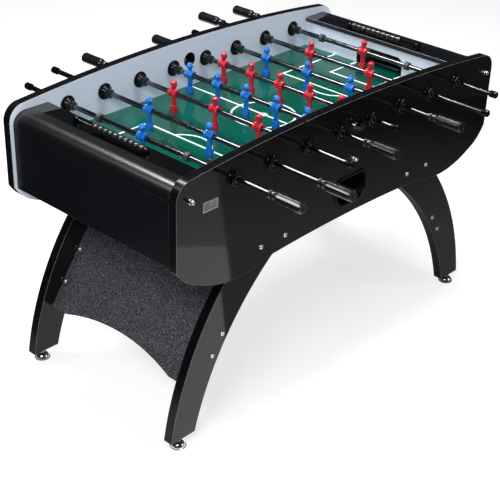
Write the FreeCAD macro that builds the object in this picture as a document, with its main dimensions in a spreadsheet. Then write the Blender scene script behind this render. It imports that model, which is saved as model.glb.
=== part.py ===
import FreeCAD
import Part
import math
import os
from FreeCAD import Rotation, Vector

# A full-size foosball table. The origin is on the floor under the middle of the table,
# +X runs along the table towards the red goal, +Y across it, +Z up. Millimetres.
# "near" is the -Y long side, "far" the +Y one; "left" is the -X end, "right" the +X end.

document = FreeCAD.newDocument("FoosballTable")
sheet = document.addObject("Spreadsheet::Sheet", "Sizes")

drivingSizes = [
    ("tableLength", 1490, "side panels, end to end"),
    ("innerWidth", 688, "between the side panels"),
    ("panelThick", 30, "side panel"),
    ("panelTopMiddle", 942, "crown of the arched top edge"),
    ("panelTopEnd", 907, "top edge where the corner rounding starts"),
    ("topCorner", 56, "how far the top corner is rounded"),
    ("panelEndLow", 642, "where the straight end edge stops"),
    ("shoulderIn", 85, "lower corner, in from the table's end"),
    ("shoulderHeight", 570, "lower corner above the floor"),
    ("shoulderBulge", 29, "bulge of the curve into that corner, in from the end"),
    ("shoulderBulgeHeight", 604.5, "the same point above the floor"),
    ("lobeIn", 245, "lowest point of the side panel, in from the end"),
    ("lobeLow", 529.5, "lowest point of the side panel"),
    ("kinkIn", 369, "where the lobe meets the middle arch, in from the end"),
    ("kinkHeight", 549, "height of that corner"),
    ("archMiddle", 561, "crown of the lower arch"),
    ("endRecess", 12, "end panel's face behind the side panels' ends"),
    ("endThick", 20, "end panel"),
    ("boardTop", 884, "top board's upper face"),
    ("boardThick", 16, "top board"),
    ("boardWidth", 134, "top board, from the end face to its inner edge"),
    ("rollRadius", 45, "rolled outer edge of the top board"),
    ("goalWallThick", 12, "end wall of the field"),
    ("goalWallSetback", 5, "end wall behind the top board's inner edge"),
    ("goalHalf", 90, "half the goal's clear width"),
    ("goalHigh", 56, "goal's clear height above the field"),
    ("goalCorner", 14, "rounding of the goal's upper corners"),
    ("goalTrim", 10, "width of the goal's trim round the opening"),
    ("goalTrimProud", 2.5, "trim's face before the end wall"),
    ("goalLining", 4, "trim's lining inside the opening"),
    ("fieldTop", 776, "playing surface"),
    ("fieldThick", 12, "playfield board"),
    ("fieldLip", 24, "playfield behind the end wall"),
    ("ledgerWide", 20, "rails that carry the playfield, across"),
    ("ledgerHigh", 30, "the same rails, high"),
    ("slatWide", 60, "cross slats under the playfield"),
    ("slatThick", 18, "cross slats, high"),
    ("postSide", 28, "corner posts of the cabinet"),
    ("rodPitch", 150, "between neighbouring rods"),
    ("rodHeight", 857, "rod axes above the floor"),
    ("rodRadius", 8, "rods"),
    ("rodWall", 2.5, "wall of the rods' tube"),
    ("linerRadius", 11, "bearing liner, outside"),
    ("runningGap", 0.06, "radial gap of everything that turns or slides"),
    ("sleeveRadius", 17, "bearing sleeve through the side panel"),
    ("sleeveGap", 0.3, "between the sleeve and its hole"),
    ("flangeRadius", 27, "bearing flange on the inner face"),
    ("flangeThick", 4, "bearing flange"),
    ("bearingReach", 32, "bearing nose, in from the side panel"),
    ("washerRadius", 25, "round foot of the bearing nut"),
    ("washerThick", 2, "the same foot"),
    ("nutAcross", 44, "bearing nut across flats"),
    ("nutThick", 12, "bearing nut"),
    ("manAbove", 42, "top of the head above the rod axis"),
    ("manBelow", 70, "sole below the rod axis"),
    ("manWidth", 33, "figure along the rod"),
    ("bodyRadius", 13.5, "figure's body round the rod"),
    ("headWidth", 20, "figure's head, across"),
    ("headHigh", 25, "figure's head, high"),
    ("footWide", 23, "kicking foot, along the rod"),
    ("footDeep", 15, "kicking foot, front to back"),
    ("footHigh", 27, "kicking foot, high"),
    ("twoSpacing", 262, "between the figures of a two-man rod"),
    ("threeSpacing", 184, "between the figures of a three-man rod"),
    ("fiveSpacing", 128, "between the figures of a five-man rod"),
    ("collarAt", 190, "stop collars of the goalkeeper's rod from its middle"),
    ("collarLength", 16, "stop collar"),
    ("collarRadius", 14, "stop collar"),
    ("stopGap", 0.5, "left free at the end of a rod's travel"),
    ("gripLength", 120, "handle"),
    ("gripAcross", 34, "handle across flats"),
    ("gripGap", 2, "handle from the bearing nut at the end of the travel"),
    ("fiveGripExtra", 50, "the same gap is larger on a five-man rod"),
    ("tailLength", 47, "rod past the bearing nut at the end of the travel"),
    ("fiveTailExtra", 5, "the same length is larger on a five-man rod"),
    ("capLength", 24, "end cap on the rod's plain end"),
    ("capRadius", 11.5, "the same cap"),
    ("restShiftTwo", 4, "two-man rods at rest, towards the table's middle"),
    ("restShiftFour", 8, "fourth rod at rest"),
    ("restShiftSix", 12, "sixth rod at rest"),
    ("restShiftEight", 12, "eighth rod at rest"),
    ("legThick", 33, "leg board"),
    ("legBottom", 34, "leg above the floor"),
    ("legTop", 640, "leg's top inside the cabinet"),
    ("kneeHeight", 340, "middle point of the leg's curved edges"),
    ("outerFootIn", 6, "leg's outer edge at the bottom, in from the end"),
    ("outerKneeIn", 108, "leg's outer edge at the knee"),
    ("outerHipIn", 353, "leg's outer edge at the top"),
    ("innerFootIn", 103, "leg's inner edge at the bottom"),
    ("innerKneeIn", 249, "leg's inner edge at the knee"),
    ("hipFromCup", 58, "leg's inner edge at the top from the return cup"),
    ("hipBoltIn", 40, "first leg bolt from the leg's outer edge"),
    ("hipBoltApart", 105, "second leg bolt from the first"),
    ("hipBoltHeight", 594, "both of them above the floor"),
    ("battenBoltLow", 276, "lower bolt on the leg's face"),
    ("battenBoltHigh", 336, "upper bolt on the leg's face"),
    ("legPanelThick", 12, "cross panel between two legs"),
    ("legPanelTilt", 34.4, "its slope from the vertical, degrees"),
    ("legPanelIn", 89, "its lower edge, in from the end"),
    ("legPanelLow", 191, "its lower edge above the floor"),
    ("legPanelTop", 620, "its upper edge above the floor"),
    ("legPanelRise", 40, "rise of its lower arch, along the slope"),
    ("legPanelFoot", 68, "straight stretch beside the arch"),
    ("battenStart", 72, "battens above the panel's lower edge, along the slope"),
    ("battenSide", 20, "battens on the legs, behind the cross panel"),
    ("battenLength", 150, "the same battens"),
    ("panelBoltIn", 9, "cross panel's bolts from the legs"),
    ("panelBoltLow", 268, "lower of them above the floor"),
    ("panelBoltHigh", 363, "upper of them above the floor"),
    ("boltHead", 8, "radius of the bolt heads"),
    ("boltHeadHigh", 5, "bolt heads"),
    ("boltShank", 4, "radius of the bolt shanks"),
    ("boltGap", 0.3, "round a bolt shank"),
    ("capNutRadius", 9, "cap nuts of the side panels"),
    ("capNutHigh", 18, "the same nuts, proud of the panel"),
    ("cornerBoltIn", 47, "corner cap nuts of the side panels, in from the end"),
    ("cornerBoltHeight", 847, "the same nuts above the floor"),
    ("middleBoltHeight", 748, "middle cap nut of the side panels"),
    ("footIn", 48, "leveling feet, in from the end"),
    ("footRadius", 26, "leveling foot"),
    ("footDiscThick", 3, "its rim"),
    ("footStud", 30, "its stud inside the leg"),
    ("footSeat", 0.3, "left free between foot and leg"),
    ("scoreInLeft", 104, "score rail of the left end, in from the end"),
    ("scoreInRight", 122, "the same at the right end"),
    ("scoreShift", 7, "score rails off the middle, towards the far side"),
    ("scoreHeight", 14, "score rail above the top board"),
    ("scoreHalf", 149, "score rail's posts from the middle"),
    ("scorePost", 14, "thickness of those posts"),
    ("scoreRadius", 3, "score rail"),
    ("beadRadius", 11, "counter"),
    ("beadLength", 22, "counter"),
    ("beadGap", 0.5, "between the last counter and the post"),
    ("serveHeight", 868, "ball serve hole above the floor"),
    ("serveRadius", 22, "clear radius of that hole"),
    ("serveWall", 3, "wall of the serve cup"),
    ("serveFlange", 32, "radius of the serve cup's ring"),
    ("returnHalf", 70, "half the clear width of the ball return"),
    ("returnLow", 599, "its lower edge"),
    ("returnHigh", 688, "its upper edge"),
    ("returnLowCorner", 44, "rounding of its lower corners"),
    ("returnHighCorner", 26, "rounding of its upper corners"),
    ("returnRim", 9, "rim round the ball return"),
    ("returnRimProud", 4, "the same rim before the panel"),
    ("returnDepth", 54, "pocket behind the side panel"),
    ("returnSill", 49, "closed part of the pocket's back"),
    ("cupWall", 3, "wall of the pocket and of the ball ramps"),
    ("rampWidth", 60, "clear width of a ball ramp"),
    ("rampDrop", 50, "fall of a ball ramp"),
    ("rampHigh", 32, "side walls of a ball ramp"),
    ("trayHalf", 104, "half the clear width of the tray behind a goal"),
    ("trayFloor", 704, "floor of that tray"),
    ("trayHigh", 52, "walls of that tray"),
    ("trayGap", 6, "tray from the playfield's end and from the end panel"),
]
for row, (alias, number, meaning) in enumerate(drivingSizes, start=1):
    sheet.set("A%d" % row, meaning)
    sheet.set("B%d" % row, str(number))
    sheet.setAlias("B%d" % row, alias)
document.recompute()


def size(alias):
    return float(sheet.get(alias))


# Places that several pieces share.
halfLength = size("tableLength") / 2
innerFace = size("innerWidth") / 2
outerFace = innerFace + size("panelThick")
endFace = halfLength - size("endRecess")
boardInner = endFace - size("boardWidth")
goalFace = boardInner + size("goalWallSetback")
goalBack = goalFace + size("goalWallThick")
fieldEnd = goalBack + size("fieldLip")
legFace = innerFace - size("legThick")
nutFace = outerFace + size("washerThick") + size("nutThick")
noseFace = innerFace - size("bearingReach")
cupHalf = size("returnHalf") + size("returnRim")

rodKinds = ["keeper", "two", "three", "five", "five", "three", "two", "keeper"]
gripSides = [-1, -1, 1, -1, 1, -1, 1, 1]
restShifts = [
    0,
    size("restShiftTwo"),
    0,
    size("restShiftFour"),
    0,
    size("restShiftSix"),
    -size("restShiftTwo"),
    size("restShiftEight"),
]


# ---------------------------------------------------------------- helpers
def bind(item, **expressions):
    for name, expression in expressions.items():
        item.setExpression(name.replace("_", "."), expression)
    return item


def box(name, length, width, height, x, y, z):
    item = document.addObject("Part::Box", name)
    bind(item, Length=length, Width=width, Height=height)
    return bind(item, Placement_Base_x=x, Placement_Base_y=y, Placement_Base_z=z)


def cylinder(name, radius, height, x, y, z, direction):
    item = document.addObject("Part::Cylinder", name)
    item.Placement.Rotation = Rotation(Vector(0, 0, 1), direction)
    bind(item, Radius=radius, Height=height)
    return bind(item, Placement_Base_x=x, Placement_Base_y=y, Placement_Base_z=z)


def fuse(name, items):
    item = document.addObject("Part::MultiFuse", name)
    item.Shapes = items
    return item


def cut(name, base, tool):
    item = document.addObject("Part::Cut", name)
    item.Base = base
    item.Tool = tool
    return item


def compound(name, items):
    item = document.addObject("Part::Compound", name)
    item.Links = items
    return item


def feature(name, shape, x=0, y=0, z=0):
    item = document.addObject("Part::Feature", name)
    item.Shape = shape
    item.Placement = FreeCAD.Placement(Vector(x, y, z), Rotation())
    return item


def originPlane(body, role):
    return [item for item in body.Origin.OriginFeatures if item.Role == role][0]


def sketchOn(body, name, role, curves):
    sketch = body.newObject("Sketcher::SketchObject", name)
    sketch.AttachmentSupport = (originPlane(body, role), [""])
    sketch.MapMode = "FlatFace"
    sketch.addGeometry(curves, False)
    return sketch


def paddedBody(name, role, curves, thickness):
    """A flat piece, padded evenly to both sides of its own sketch plane."""
    body = document.addObject("PartDesign::Body", name)
    pad = body.newObject("PartDesign::Pad", name + "Pad")
    pad.Profile = sketchOn(body, name + "Outline", role, curves)
    pad.SideType = "Symmetric"
    pad.setExpression("Length", thickness)
    return body


def pocket(body, name, role, curves):
    cutter = body.newObject("PartDesign::Pocket", name)
    cutter.Profile = sketchOn(body, name + "Outline", role, curves)
    cutter.Type = "ThroughAll"
    cutter.Midplane = True
    return cutter


def turnedBody(name, points, axis):
    """A turned piece: points are (radius, place along the axis)."""
    body = document.addObject("PartDesign::Body", name)
    role = "XY_Plane" if axis == "Y" else "XZ_Plane"
    corners = [Vector(radius, place, 0) for radius, place in points]
    sketch = sketchOn(body, name + "Profile", role, polygon(corners))
    turn = body.newObject("PartDesign::Revolution", name + "Turn")
    turn.Profile = sketch
    turn.ReferenceAxis = (sketch, ["V_Axis"])
    turn.Angle = 360
    return body


def polygon(corners):
    return [Part.LineSegment(a, b) for a, b in zip(corners, corners[1:] + corners[:1])]


def flat(x, z):
    return Vector(x, z, 0)


def mirrored(corners):
    return [Vector(-corner.x, corner.y, corner.z) for corner in reversed(corners)]


def circleAt(x, z, radius):
    return Part.Circle(flat(x, z), Vector(0, 0, 1), radius)


def placed(shape, x, y, z, quarterTurns=0):
    copy = shape.copy()
    if quarterTurns:
        copy.rotate(Vector(0, 0, 0), Vector(0, 0, 1), 90 * quarterTurns)
    copy.translate(Vector(x, y, z))
    return copy


def rodPlace(index):
    return (index - 3.5) * size("rodPitch")


# ---------------------------------------------------------------- rods, figures and handles
def figurePlaces(kind):
    spacing = {"two": "twoSpacing", "three": "threeSpacing", "five": "fiveSpacing"}
    if kind == "keeper":
        return [0.0]
    count = {"two": 2, "three": 3, "five": 5}[kind]
    return [(number - (count - 1) / 2) * size(spacing[kind]) for number in range(count)]


def travelOf(kind):
    """How far a rod slides each way before a figure or a collar meets a bearing nose."""
    if kind == "keeper":
        outermost = size("collarAt") + size("collarLength") / 2
    else:
        outermost = figurePlaces(kind)[-1] + size("manWidth") / 2
    return noseFace - outermost - size("stopGap")


def gripStart(kind):
    extra = size("fiveGripExtra") if kind == "five" else 0
    return nutFace + travelOf(kind) + size("gripGap") + extra


def tailEnd(kind):
    extra = size("fiveTailExtra") if kind == "five" else 0
    return nutFace + travelOf(kind) + size("tailLength") + extra


def makeFigure():
    """One player, with the rod axis at its origin and its face towards +X."""
    barrel = cylinder(
        "figureBarrel", "Sizes.bodyRadius - 1.5", "Sizes.manWidth", "0",
        "-Sizes.manWidth / 2", "0", Vector(0, 1, 0),
    )
    discs = []
    for side, start in (("Near", "-Sizes.manWidth / 2"), ("Far", "Sizes.manWidth / 2 - 4")):
        discs.append(cylinder(
            "figureDisc" + side, "Sizes.bodyRadius", "4", "0", start, "0", Vector(0, 1, 0),
        ))
    neck = document.addObject("Part::Cone", "figureShoulders")
    bind(neck, Radius1="Sizes.bodyRadius - 1.5", Radius2="Sizes.headWidth / 4", Height="12")
    bind(neck, Placement_Base_z="Sizes.manAbove - Sizes.headHigh - 9")
    head = document.addObject("Part::Ellipsoid", "figureHead")
    bind(head, Radius1="Sizes.headHigh / 2", Radius2="Sizes.headWidth / 2")
    bind(head, Radius3="Sizes.headWidth / 2")
    bind(head, Placement_Base_z="Sizes.manAbove - Sizes.headHigh / 2")
    legs = box(
        "figureLegs", "Sizes.footDeep - 3", "Sizes.footWide - 6",
        "Sizes.manBelow - Sizes.footHigh", "-(Sizes.footDeep - 3) / 2",
        "-(Sizes.footWide - 6) / 2", "-(Sizes.manBelow - Sizes.footHigh)",
    )
    foot = box(
        "figureFoot", "Sizes.footDeep", "Sizes.footWide", "Sizes.footHigh",
        "-Sizes.footDeep / 2", "-Sizes.footWide / 2", "-Sizes.manBelow",
    )
    body = fuse("figureSolid", [barrel] + discs + [neck, head, legs, foot])
    bore = cylinder(
        "figureBore", "Sizes.rodRadius + Sizes.runningGap", "Sizes.manWidth + 2", "0",
        "-Sizes.manWidth / 2 - 1", "0", Vector(0, 1, 0),
    )
    return cut("figure", body, bore)


def makeGrip():
    """Eight-sided handle, from its collar at y = 0 out to its butt."""
    across = size("gripAcross") / 2
    corner = across / math.cos(math.pi / 8)
    long = size("gripLength")
    profile = [
        (0, long), (corner - 4, long), (corner, long - 6), (corner, 34), (corner - 4, 27),
        (across - 6, 27), (across - 6, 24), (across - 3, 24), (across - 3, 10),
        (across - 6, 10), (across - 6, 7), (across - 2, 7), (across - 2, 1),
        (across - 3, 0), (0, 0),
    ]
    turned = turnedBody("gripTurned", profile, "Y")
    prism = document.addObject("Part::Prism", "gripFlats")
    prism.Polygon = 8
    bind(prism, Circumradius="Sizes.gripAcross / 2 / cos(22.5 deg)", Height="Sizes.gripLength")
    facing = Rotation(Vector(0, 0, 1), Vector(0, 1, 0))
    prism.Placement.Rotation = facing.multiply(Rotation(Vector(0, 0, 1), 22.5))
    shaped = document.addObject("Part::MultiCommon", "gripShaped")
    shaped.Shapes = [turned, prism]
    bore = cylinder(
        "gripBore", "Sizes.rodRadius + Sizes.runningGap", "Sizes.gripLength - 14", "0", "-1",
        "0", Vector(0, 1, 0),
    )
    return cut("grip", shaped, bore)


def makeCap():
    cap = cylinder("capBody", "Sizes.capRadius", "Sizes.capLength", "0", "0", "0", Vector(0, 1, 0))
    bore = cylinder(
        "capBore", "Sizes.rodRadius + Sizes.runningGap", "Sizes.capLength - 3", "0", "-1", "0",
        Vector(0, 1, 0),
    )
    return cut("cap", cap, bore)


def makeCollar():
    ring = cylinder(
        "collarBody", "Sizes.collarRadius", "Sizes.collarLength", "0",
        "-Sizes.collarLength / 2", "0", Vector(0, 1, 0),
    )
    bore = cylinder(
        "collarBore", "Sizes.rodRadius + Sizes.runningGap", "Sizes.collarLength + 2", "0",
        "-Sizes.collarLength / 2 - 1", "0", Vector(0, 1, 0),
    )
    return cut("collar", ring, bore)


def makeRods(patterns):
    """A rod, its figures, and its handle, cap and collars, each row in its rest place."""
    nodes = []
    height = size("rodHeight")
    capSeat = size("capLength") - 4
    gripSeat = size("gripLength") - 16
    for index, kind in enumerate(rodKinds):
        x = rodPlace(index)
        shift = restShifts[index]
        side = gripSides[index]
        turns = 0 if side > 0 else 2
        gripAt = gripStart(kind)
        capAt = tailEnd(kind) - size("capLength")
        low, high = -(capAt + capSeat), gripAt + gripSeat
        if side < 0:
            low, high = -high, -low
        outside = Part.makeCylinder(size("rodRadius"), high - low, Vector(0, 0, 0), Vector(0, 1, 0))
        inside = Part.makeCylinder(
            size("rodRadius") - size("rodWall"), high - low, Vector(0, 0, 0), Vector(0, 1, 0)
        )
        tube = outside.cut(inside)
        nodes.append(feature("rod_%d" % (index + 1), tube, x, low + shift, height))
        figures = []
        for place in figurePlaces(kind):
            facing = 0 if side < 0 else 2
            figures.append(placed(patterns["figure"], x, place + shift, height, facing))
        nodes.append(feature("men_%d" % (index + 1), Part.makeCompound(figures)))
        fittings = [
            placed(patterns["grip"], x, side * gripAt + shift, height, turns),
            placed(patterns["cap"], x, -side * capAt + shift, height, 2 - turns),
        ]
        if kind == "keeper":
            for collarSide in (-1, 1):
                place = collarSide * size("collarAt") + shift
                fittings.append(placed(patterns["collar"], x, place, height))
        nodes.append(feature("grip_%d" % (index + 1), Part.makeCompound(fittings)))
    return nodes


# ---------------------------------------------------------------- bearings
def makeBearingFlange():
    """Far bearing, y = 0 on the side panel's inner face; its nose points to -Y."""
    bore = size("linerRadius") + size("runningGap")
    sleeve = size("sleeveRadius")
    nose = size("bearingReach")
    plate = size("flangeThick")
    rim = size("flangeRadius")
    end = size("panelThick") + size("washerThick") + size("nutThick") - 1
    profile = [
        (bore, -nose), (bore + 3, -nose), (bore + 3, -nose + 4), (bore + 1.8, -nose + 8),
        (bore + 1.8, -plate - 12), (sleeve - 3, -plate - 12), (sleeve - 3, -plate - 8),
        (sleeve - 1.4, -plate - 8), (sleeve - 1.4, -plate - 4), (sleeve + 0.2, -plate - 4),
        (sleeve + 0.2, -plate), (rim - 2, -plate), (rim, -plate + 2), (rim, 0), (sleeve, 0),
        (sleeve, end), (bore, end),
    ]
    return turnedBody("bearingFlange", profile, "Y")


def makeLiner():
    start = 1 - size("bearingReach")
    end = size("panelThick") + size("washerThick") + size("nutThick") - 2
    bore = size("rodRadius") + size("runningGap")
    rim = size("linerRadius")
    return turnedBody("liner", [(bore, start), (rim, start), (rim, end), (bore, end)], "Y")


def makeNut():
    washer = cylinder(
        "nutWasher", "Sizes.washerRadius", "Sizes.washerThick", "0", "0", "0", Vector(0, 1, 0)
    )
    hexagon = document.addObject("Part::Prism", "nutHexagon")
    hexagon.Polygon = 6
    hexagon.Placement.Rotation = Rotation(Vector(0, 0, 1), Vector(0, 1, 0))
    bind(hexagon, Circumradius="Sizes.nutAcross / 2 / cos(30 deg)", Height="Sizes.nutThick")
    bind(hexagon, Placement_Base_y="Sizes.washerThick")
    bore = cylinder(
        "nutBore", "Sizes.sleeveRadius + Sizes.runningGap",
        "Sizes.washerThick + Sizes.nutThick + 2", "0", "-1", "0", Vector(0, 1, 0),
    )
    return cut("nut", fuse("nutSolid", [washer, hexagon]), bore)


def makeBearings(flange, liner, nut):
    height = size("rodHeight")
    flanges, nuts, nodes = [], [], []
    for index in range(len(rodKinds)):
        x = rodPlace(index)
        liners = []
        for side, turns in ((1, 0), (-1, 2)):
            flanges.append(placed(flange, x, side * innerFace, height, turns))
            nuts.append(placed(nut, x, side * outerFace, height, turns))
            liners.append(placed(liner, x, side * innerFace, height, turns))
        nodes.append(feature("liner_%d" % (index + 1), Part.makeCompound(liners)))
    nodes.append(feature("bearing_flanges", Part.makeCompound(flanges)))
    nodes.append(feature("bearing_nuts", Part.makeCompound(nuts)))
    return nodes


# ---------------------------------------------------------------- legs
def legEdges():
    """Three points of the outer and of the inner edge of a right-hand leg, bottom to top."""
    heights = (size("legBottom"), size("kneeHeight"), size("legTop"))
    outer = [halfLength - size(name) for name in ("outerFootIn", "outerKneeIn", "outerHipIn")]
    inner = [halfLength - size("innerFootIn"), halfLength - size("innerKneeIn")]
    inner.append(cupHalf + size("hipFromCup"))
    outerPoints = [flat(x, z) for x, z in zip(outer, heights)]
    innerPoints = [flat(x, z) for x, z in zip(inner, heights)]
    return outerPoints, innerPoints


def edgeAt(points, height):
    """Where a leg's curved edge is at a height."""
    arc = Part.Circle(*points)
    rise = height - arc.Center.y
    return arc.Center.x + math.sqrt(arc.Radius**2 - rise**2)


def hipBolts():
    first = edgeAt(legEdges()[0], size("hipBoltHeight")) - size("hipBoltIn")
    return [(first, size("hipBoltHeight")), (first - size("hipBoltApart"), size("hipBoltHeight"))]


def battenBolts():
    """The bolts through a leg, on the middle line of its batten."""
    slope = math.radians(size("legPanelTilt"))
    back = (size("legPanelThick") + size("battenSide") / 2) / math.cos(slope)
    base = halfLength - size("legPanelIn") - back
    heights = (size("battenBoltLow"), size("battenBoltHigh"))
    return [(base - math.tan(slope) * (z - size("legPanelLow")), z) for z in heights]


def makeLeg(name, side, end):
    """side is -1 near, 1 far; end is -1 left, 1 right."""
    outer, inner = legEdges()
    holes = [circleAt(end * x, z, size("boltShank") + size("boltGap")) for x, z in hipBolts()]
    holes += [circleAt(end * x, z, size("boltShank") + size("boltGap")) for x, z in battenBolts()]
    if end < 0:
        outer = mirrored(outer)[::-1]
        inner = mirrored(inner)[::-1]
    curves = [
        Part.Arc(*outer),
        Part.LineSegment(outer[2], inner[2]),
        Part.Arc(*inner),
        Part.LineSegment(inner[0], outer[0]),
    ]
    body = paddedBody(name, "XZ_Plane", curves, "Sizes.legThick")
    pocket(body, name + "BoltHoles", "XZ_Plane", holes)
    middle = "(Sizes.innerWidth - Sizes.legThick) / 2"
    bind(body, Placement_Base_y=middle if side > 0 else "-" + middle)
    foot = footPlace()
    stud = cylinder(
        name + "StudHole", "Sizes.boltShank + Sizes.runningGap", "Sizes.footStud + 6",
        str(end * foot), middle if side > 0 else "-" + middle, "Sizes.legBottom - 1",
        Vector(0, 0, 1),
    )
    return cut(name + "Drilled", body, stud)


def footPlace():
    return halfLength - size("footIn")


def makeFoot():
    """Leveling foot, z = 0 on the floor."""
    rim = size("footRadius")
    disc = size("footDiscThick")
    top = size("legBottom") - size("footSeat")
    stud = size("boltShank")
    profile = [
        (0, 0), (rim - 1, 0), (rim, 1), (rim, disc), (rim - 2, disc + 1), (rim - 4, disc + 8),
        (rim - 9, disc + 15), (stud + 5, disc + 18), (stud + 4, top), (stud, top),
        (stud, top + size("footStud")), (0, top + size("footStud")),
    ]
    return turnedBody("foot", profile, "Z")


def makeFeet(foot):
    nodes = []
    across = (innerFace + legFace) / 2
    corners = [(-1, -1), (1, -1), (1, 1), (-1, 1)]
    for number, (end, side) in enumerate(corners, start=1):
        x = end * footPlace()
        nodes.append(feature("leveler_%d" % number, foot, x, side * across))
    return nodes


def makeLegPanel(name, end):
    """Sloping cross panel between the two left legs, with an arched lower edge."""
    slope = math.radians(size("legPanelTilt"))
    high = (size("legPanelTop") - size("legPanelLow")) / math.cos(slope)
    half = legFace
    spring = half - size("legPanelFoot")
    corners = [
        Vector(half, 0, 0), Vector(half, high, 0), Vector(-half, high, 0), Vector(-half, 0, 0),
    ]
    curves = [Part.LineSegment(a, b) for a, b in zip(corners, corners[1:])]
    curves.append(Part.LineSegment(Vector(-half, 0, 0), Vector(-spring, 0, 0)))
    curves.append(Part.Arc(
        Vector(-spring, 0, 0), Vector(0, size("legPanelRise"), 0), Vector(spring, 0, 0),
    ))
    curves.append(Part.LineSegment(Vector(spring, 0, 0), Vector(half, 0, 0)))
    body = paddedBody(name, "YZ_Plane", curves, "Sizes.legPanelThick")
    holes = []
    for height in (size("panelBoltLow"), size("panelBoltHigh")):
        for side in (-1, 1):
            along = (height - size("legPanelLow")) / math.cos(slope)
            place = side * (half - size("panelBoltIn"))
            holes.append(Part.Circle(
                Vector(place, along, 0), Vector(0, 0, 1), size("boltShank") + size("boltGap"),
            ))
    pocket(body, name + "BoltHoles", "YZ_Plane", holes)
    body.Placement = legPanelPlacement(end, -size("legPanelThick") / 2)
    return body


def legPanelPlacement(end, outward):
    """Frame on a cross panel's outer face at its lower edge: local x outwards, z up the slope."""
    turn = Rotation(Vector(0, 1, 0), -end * size("legPanelTilt"))
    base = Vector(end * (halfLength - size("legPanelIn")), 0, size("legPanelLow"))
    offset = turn.multVec(Vector(end * outward, 0, 0))
    return FreeCAD.Placement(base + offset, turn)


def makeBattens():
    """Battens on the inner faces of the four legs; the left ones carry the cross panel."""
    parts = []
    side = size("battenSide")
    for end in (-1, 1):
        for across in (-1, 1):
            block = Part.makeBox(side, side, size("battenLength"))
            start = -size("legPanelThick") - side if end > 0 else size("legPanelThick")
            edge = legFace - side if across > 0 else -legFace
            block.translate(Vector(start, edge, size("battenStart")))
            block = block.transformGeometry(legPanelPlacement(end, 0).toMatrix())
            for x, z in battenBolts():
                hole = Part.makeCylinder(
                    size("boltShank") + size("boltGap"), side, Vector(end * x, 0, z),
                    Vector(0, across, 0),
                )
                hole.translate(Vector(0, across * (legFace - side / 2), 0))
                block = block.cut(hole)
            if end < 0:
                for height in (size("panelBoltLow"), size("panelBoltHigh")):
                    block = block.cut(panelBoltTool(end, across, height, size("boltGap")))
            parts.append(block)
    return feature("leg_brackets", Part.makeCompound(parts))


def panelBoltTool(end, across, height, gap):
    """Shank of a bolt through a cross panel into its batten."""
    slope = math.radians(size("legPanelTilt"))
    place = legPanelPlacement(end, 0)
    along = (height - size("legPanelLow")) / math.cos(slope)
    start = place.multVec(Vector(0, across * (legFace - size("panelBoltIn")), along))
    inward = place.Rotation.multVec(Vector(-end, 0, 0))
    long = size("legPanelThick") + size("battenSide") / 2 + gap
    return Part.makeCylinder(size("boltShank") + gap, long, start, inward)


# ---------------------------------------------------------------- cabinet
def sidePanelOutline():
    """Side panel seen from the side: arched top, rounded corners, lobed lower edge."""
    top = size("panelTopEnd")
    corner = size("topCorner")
    squeeze = corner * (1 - math.cos(math.pi / 4))
    low = size("panelEndLow")
    right = [
        flat(halfLength - corner, top),
        flat(halfLength - squeeze, top - squeeze),
        flat(halfLength, top - corner),
        flat(halfLength, low),
        flat(halfLength - size("shoulderBulge"), size("shoulderBulgeHeight")),
        flat(halfLength - size("shoulderIn"), size("shoulderHeight")),
        flat(halfLength - size("lobeIn"), size("lobeLow")),
        flat(halfLength - size("kinkIn"), size("kinkHeight")),
    ]
    left = [Vector(-corner.x, corner.y, 0) for corner in right]
    curves = [Part.Arc(left[0], flat(0, size("panelTopMiddle")), right[0])]
    for side in (right, left):
        curves.append(Part.Arc(side[0], side[1], side[2]))
        curves.append(Part.LineSegment(side[2], side[3]))
        curves.append(Part.Arc(side[3], side[4], side[5]))
        curves.append(Part.Arc(side[5], side[6], side[7]))
    curves.append(Part.Arc(left[7], flat(0, size("archMiddle")), right[7]))
    return curves


def returnOutline(growth):
    """The ball return's rounded outline, grown evenly, seen from the side."""
    half = size("returnHalf") + growth
    low = size("returnLow") - growth
    high = size("returnHigh") + growth
    lowRound = size("returnLowCorner") + growth
    highRound = size("returnHighCorner") + growth
    curves = []
    for side in (1, -1):
        curves.append(Part.LineSegment(
            flat(side * half, low + lowRound), flat(side * half, high - highRound),
        ))
        for edge, radius, way in ((high, highRound, 1), (low, lowRound, -1)):
            bulge = radius * (1 - math.cos(math.pi / 4))
            curves.append(Part.Arc(
                flat(side * half, edge - way * radius),
                flat(side * (half - bulge), edge - way * bulge),
                flat(side * (half - radius), edge),
            ))
    for edge, radius in ((high, highRound), (low, lowRound)):
        curves.append(Part.LineSegment(flat(radius - half, edge), flat(half - radius, edge)))
    return curves


def makeSidePanel(name, side):
    body = paddedBody(name, "XZ_Plane", sidePanelOutline(), "Sizes.panelThick")
    shank = size("boltShank") + size("boltGap")
    holes = []
    for index in range(len(rodKinds)):
        radius = size("sleeveRadius") + size("sleeveGap")
        holes.append(circleAt(rodPlace(index), size("rodHeight"), radius))
    serve = size("serveRadius") + size("serveWall") + size("sleeveGap")
    holes.append(circleAt(0, size("serveHeight"), serve))
    for end in (-1, 1):
        corner = end * (halfLength - size("cornerBoltIn"))
        holes.append(circleAt(corner, size("cornerBoltHeight"), shank))
        for x, z in hipBolts():
            holes.append(circleAt(end * x, z, shank))
    holes.append(circleAt(0, size("middleBoltHeight"), shank))
    pocket(body, name + "Holes", "XZ_Plane", holes)
    pocket(body, name + "Return", "XZ_Plane", returnOutline(size("cupWall") + size("sleeveGap")))
    middle = "(Sizes.innerWidth + Sizes.panelThick) / 2"
    return bind(body, Placement_Base_y=middle if side > 0 else "-" + middle)


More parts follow.
